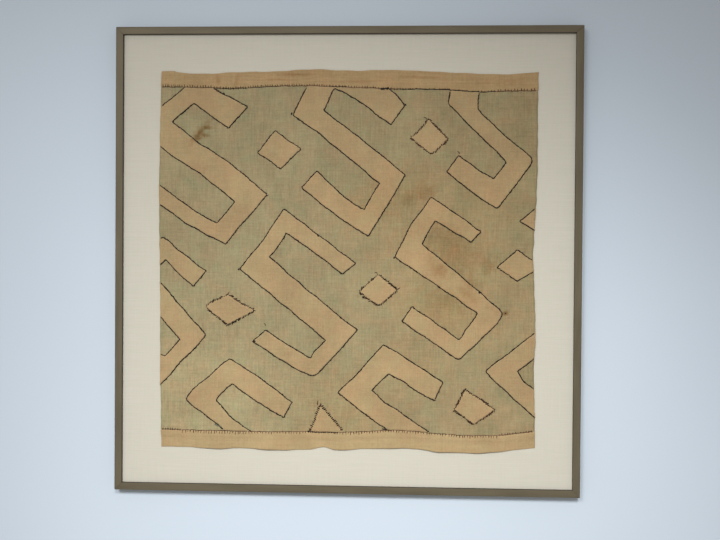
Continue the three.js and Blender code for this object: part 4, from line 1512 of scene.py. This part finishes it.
def seam_stitches(side, seam, edge, stretches, threads):
    """The sewing of a border strip, one mesh for each thread: along each stretch a running line of
    stitches on the seam, and a comb of stitches across it."""
    up = np.sign(edge(0) - seam(0))
    rows = {}

    def on_seam(x, y):
        out = up * (y - seam(x))
        return GROUND_TOP + lift(x, y) + np.where(out > 0, sewn_rise(out), BESIDE_STRIP) + SEAM_THREAD

    for k, stretch in enumerate(stretches):
        draw = np.random.default_rng(SEAM_SEED + k)
        across = np.arange(stretch["start"], stretch["end"], 1.0)
        path = np.column_stack([across, seam(across)])
        row = rows.setdefault(stretch["thread"], [])

        places, turns = spaced(path, LINE_PITCH, closed=False)
        count = len(places)
        stray = draw.normal(0, LINE_STRAY, count)
        places = places + np.column_stack([np.zeros(count), stray])
        turns = turns + np.radians(draw.normal(LINE_TURN * up, SEAM_TURN_SPREAD, count))
        row.append((places, turns, np.full(count, LINE_LONG), np.full(count, stretch["line"])))

        places, turns = spaced(path, stretch["pitch"], closed=False)
        count = len(places)
        into = stretch["into"] * draw.uniform(*COMB_INTO, count)
        back = stretch["back"] * draw.uniform(*COMB_BACK, count)
        stray = draw.normal(0, COMB_STRAY * stretch["pitch"], count)
        places = places + np.column_stack([stray, up * (into - back) / 2])
        turned = draw.normal(COMB_TURN * up, SEAM_TURN_SPREAD, count)
        turns = turns + math.pi / 2 + np.radians(turned)
        row.append((places, turns, into + back, np.full(count, stretch["wide"])))
    made = []
    for k, (thread_name, row) in enumerate(rows.items()):
        places, turns, long, wide = (np.concatenate(parts) for parts in zip(*row))
        sizes = (long, wide, SEAM_UNEVEN)
        name = f"{side}_seam_{thread_name}"
        material = threads[thread_name]
        seed = SEAM_ROW_SEED + k
        made.append(row_of_beads(name, places, turns, *sizes, on_seam, material, seed))
    return made


def thread_ends(threads):
    """Loose ends: a round section carried along an arc that lies on the cloth, thinner towards its
    end."""
    made = []
    for k, end in enumerate(THREAD_ENDS, 1):
        steps = np.linspace(0, 1, THREAD_END_STEPS)
        turns = np.radians(end["turn"] + end["curl"] * steps)
        step = end["long"] / (len(steps) - 1)
        x = end["x"] + np.concatenate([[0], np.cumsum(np.cos(turns[:-1]) * step)])
        y = end["y"] + np.concatenate([[0], np.cumsum(np.sin(turns[:-1]) * step)])
        z = on_edge(x, y) + THREAD_END_HUMP * np.sin(math.pi * steps) + THREAD_END_RISE + end["up"]
        radius = (end["thick"] / 2 * (1 - 0.5 * steps))[:, None]
        around = np.arange(BEAD_SIDES + 1) * 2 * math.pi / BEAD_SIDES
        ring_x = x[:, None] - np.sin(turns)[:, None] * np.cos(around) * radius
        ring_y = y[:, None] + np.cos(turns)[:, None] * np.cos(around) * radius
        ring_z = z[:, None] + np.sin(around) * radius
        rings = (ring_x, ring_y, ring_z)
        piece = grid_piece(f"thread_end_{k}", *rings, threads[end["thread"]], None)
        add_values(piece, "tone", np.full(ring_x.size, 0.5))
        made.append(piece)
    return made


def knots(threads):
    """Knots, one mesh for each thread, of stitches that stand a little higher than the others."""

    def on_stitches(x, y):
        return on_edge(x, y) + KNOT_RISE

    made = []
    for k, name in enumerate(dict.fromkeys(knot["thread"] for knot in KNOTS)):
        chosen = [knot for knot in KNOTS if knot["thread"] == name]
        places = np.array([[knot["x"], knot["y"]] for knot in chosen], float)
        turns = np.radians([knot["turn"] for knot in chosen])
        long, wide = (np.array([knot[size] for knot in chosen], float) for size in ("long", "wide"))
        sizes = (long, wide, KNOT_UNEVEN)
        piece_name = f"{name}_knots"
        seed = KNOT_SEED + k
        made.append(row_of_beads(piece_name, places, turns, *sizes, on_stitches, threads[name], seed))
    return made


def sewn_pieces(material, threads):
    """Every hook and patch with its stitches."""
    for k, hook in enumerate(HOOKS, 1):
        x, y, inwards, split = hook_grid(k, hook)
        name = f"hook_{k}"
        stitches = outline_stitches(f"{name}_stitches", x, y, "stem", threads["dark"], HOOK_SEED + k)
        parts = [(name, slice(None), [stitches])]
        if k == PARTED_HOOK:
            parts = [
                (f"{name}_upper", slice(None, split + 1), []),
                (f"{name}_lower", slice(split, None), [stitches]),
            ]
        for node, rows, sewing in parts:
            grid = (x[rows], y[rows], inwards[rows])
            sewn_piece(f"{node}_sewn", node, *grid, material, sewing)
    for k, patch in enumerate(PATCHES, 1):
        x, y, inwards = patch_grid(patch)
        name = f"patch_{k}"
        sewing, thread_used = patch["sewing"], threads[patch["thread"]]
        stitches = outline_stitches(f"{name}_stitches", x, y, sewing, thread_used, PATCH_SEED + k)
        sewn_piece(f"{name}_sewn", name, x, y, inwards, material, [stitches])


# The stage: floor, light and camera


def new_light(name, kind, place, towards, power, colour):
    """A light at a place, turned to shine towards another."""
    data = bpy.data.lights.new(name, kind)
    data.energy = power
    data.color = colour
    light = new_object(name, data)
    light.location = place
    way = np.array(towards) - np.array(place)
    aside = math.hypot(way[0], way[1])
    light.rotation_euler = (math.atan2(aside, -way[2]), 0, math.atan2(way[1], way[0]) - math.pi / 2)
    return light


def set_stage():
    """A pale floor under the frame, soft light from all round and from a panel beyond the upper left
    corner, two spots from beyond the top edge that are aimed beyond the bottom edge and at the lower
    left, and the camera at the photograph's angle."""
    size = FLOOR_HALF
    mesh = bpy.data.meshes.new("floor")
    corners = [(-size, -size, 0), (size, -size, 0), (size, size, 0), (-size, size, 0)]
    mesh.from_pydata(corners, [], [(0, 1, 2, 3)])
    mesh.materials.append(floor_finish())
    floor = new_object("floor", mesh)

    world = bpy.data.worlds.new("studio")
    world.use_nodes = True
    surround = world.node_tree.nodes["Background"]
    surround.inputs["Color"].default_value = SURROUND_COLOUR
    surround.inputs["Strength"].default_value = SURROUND_STRENGTH
    bpy.context.scene.world = world

    panel = new_light(*PANEL)
    panel.data.shape = "SQUARE"
    panel.data.size = PANEL_SIZE
    for name, place, towards, power, opening in SPOTS:
        key = new_light(name, "SPOT", place, towards, power, COOL_WHITE)
        key.data.spot_size = math.radians(opening)
        key.data.spot_blend = 1.0
        key.data.shadow_soft_size = SPOT_RADIUS
        key.visible_glossy = False

    data = bpy.data.cameras.new("camera")
    data.lens = LENS
    data.sensor_width = SENSOR_WIDTH
    camera = new_object("camera", data)
    camera.location = CAMERA_PLACE
    camera.rotation_euler = tuple(math.radians(turn) for turn in CAMERA_TURNS)
    bpy.context.scene.camera = camera
    bpy.context.scene.view_settings.view_transform = "Standard"


# The assembly


def build():
    """Every piece of the object: frame, board, cloths, sewn pieces, thread ends and knots."""
    rail_finish = bronze()
    for turn, side in enumerate(["bottom", "right", "top", "left"]):
        frame_rail(side, turn, rail_finish)
    mounting_board(linen_cloth(), grey_board())
    cloths = {row["name"]: raffia(**row) for row in RAFFIA_CLOTHS}
    threads = {
        row["name"]: thread(f"{row['finish']} raffia thread", row["dark"], row["light"])
        for row in THREADS
    }
    ground_cloth(cloths["dyed raffia"])
    top_sewing = seam_stitches("top", top_seam, top_edge, TOP_SEWING, threads)
    bottom_sewing = seam_stitches("bottom", bottom_seam, bottom_edge, BOTTOM_SEWING, threads)
    border_strip("top", top_seam, top_edge, cloths["raffia of the upper strip"])
    border_strip("bottom", bottom_seam, bottom_edge, cloths["raffia of the lower strip"])
    sewn_pieces(cloths["raffia of the sewn pieces"], threads)
    thread_ends(threads)
    knots(threads)


build()
set_stage()
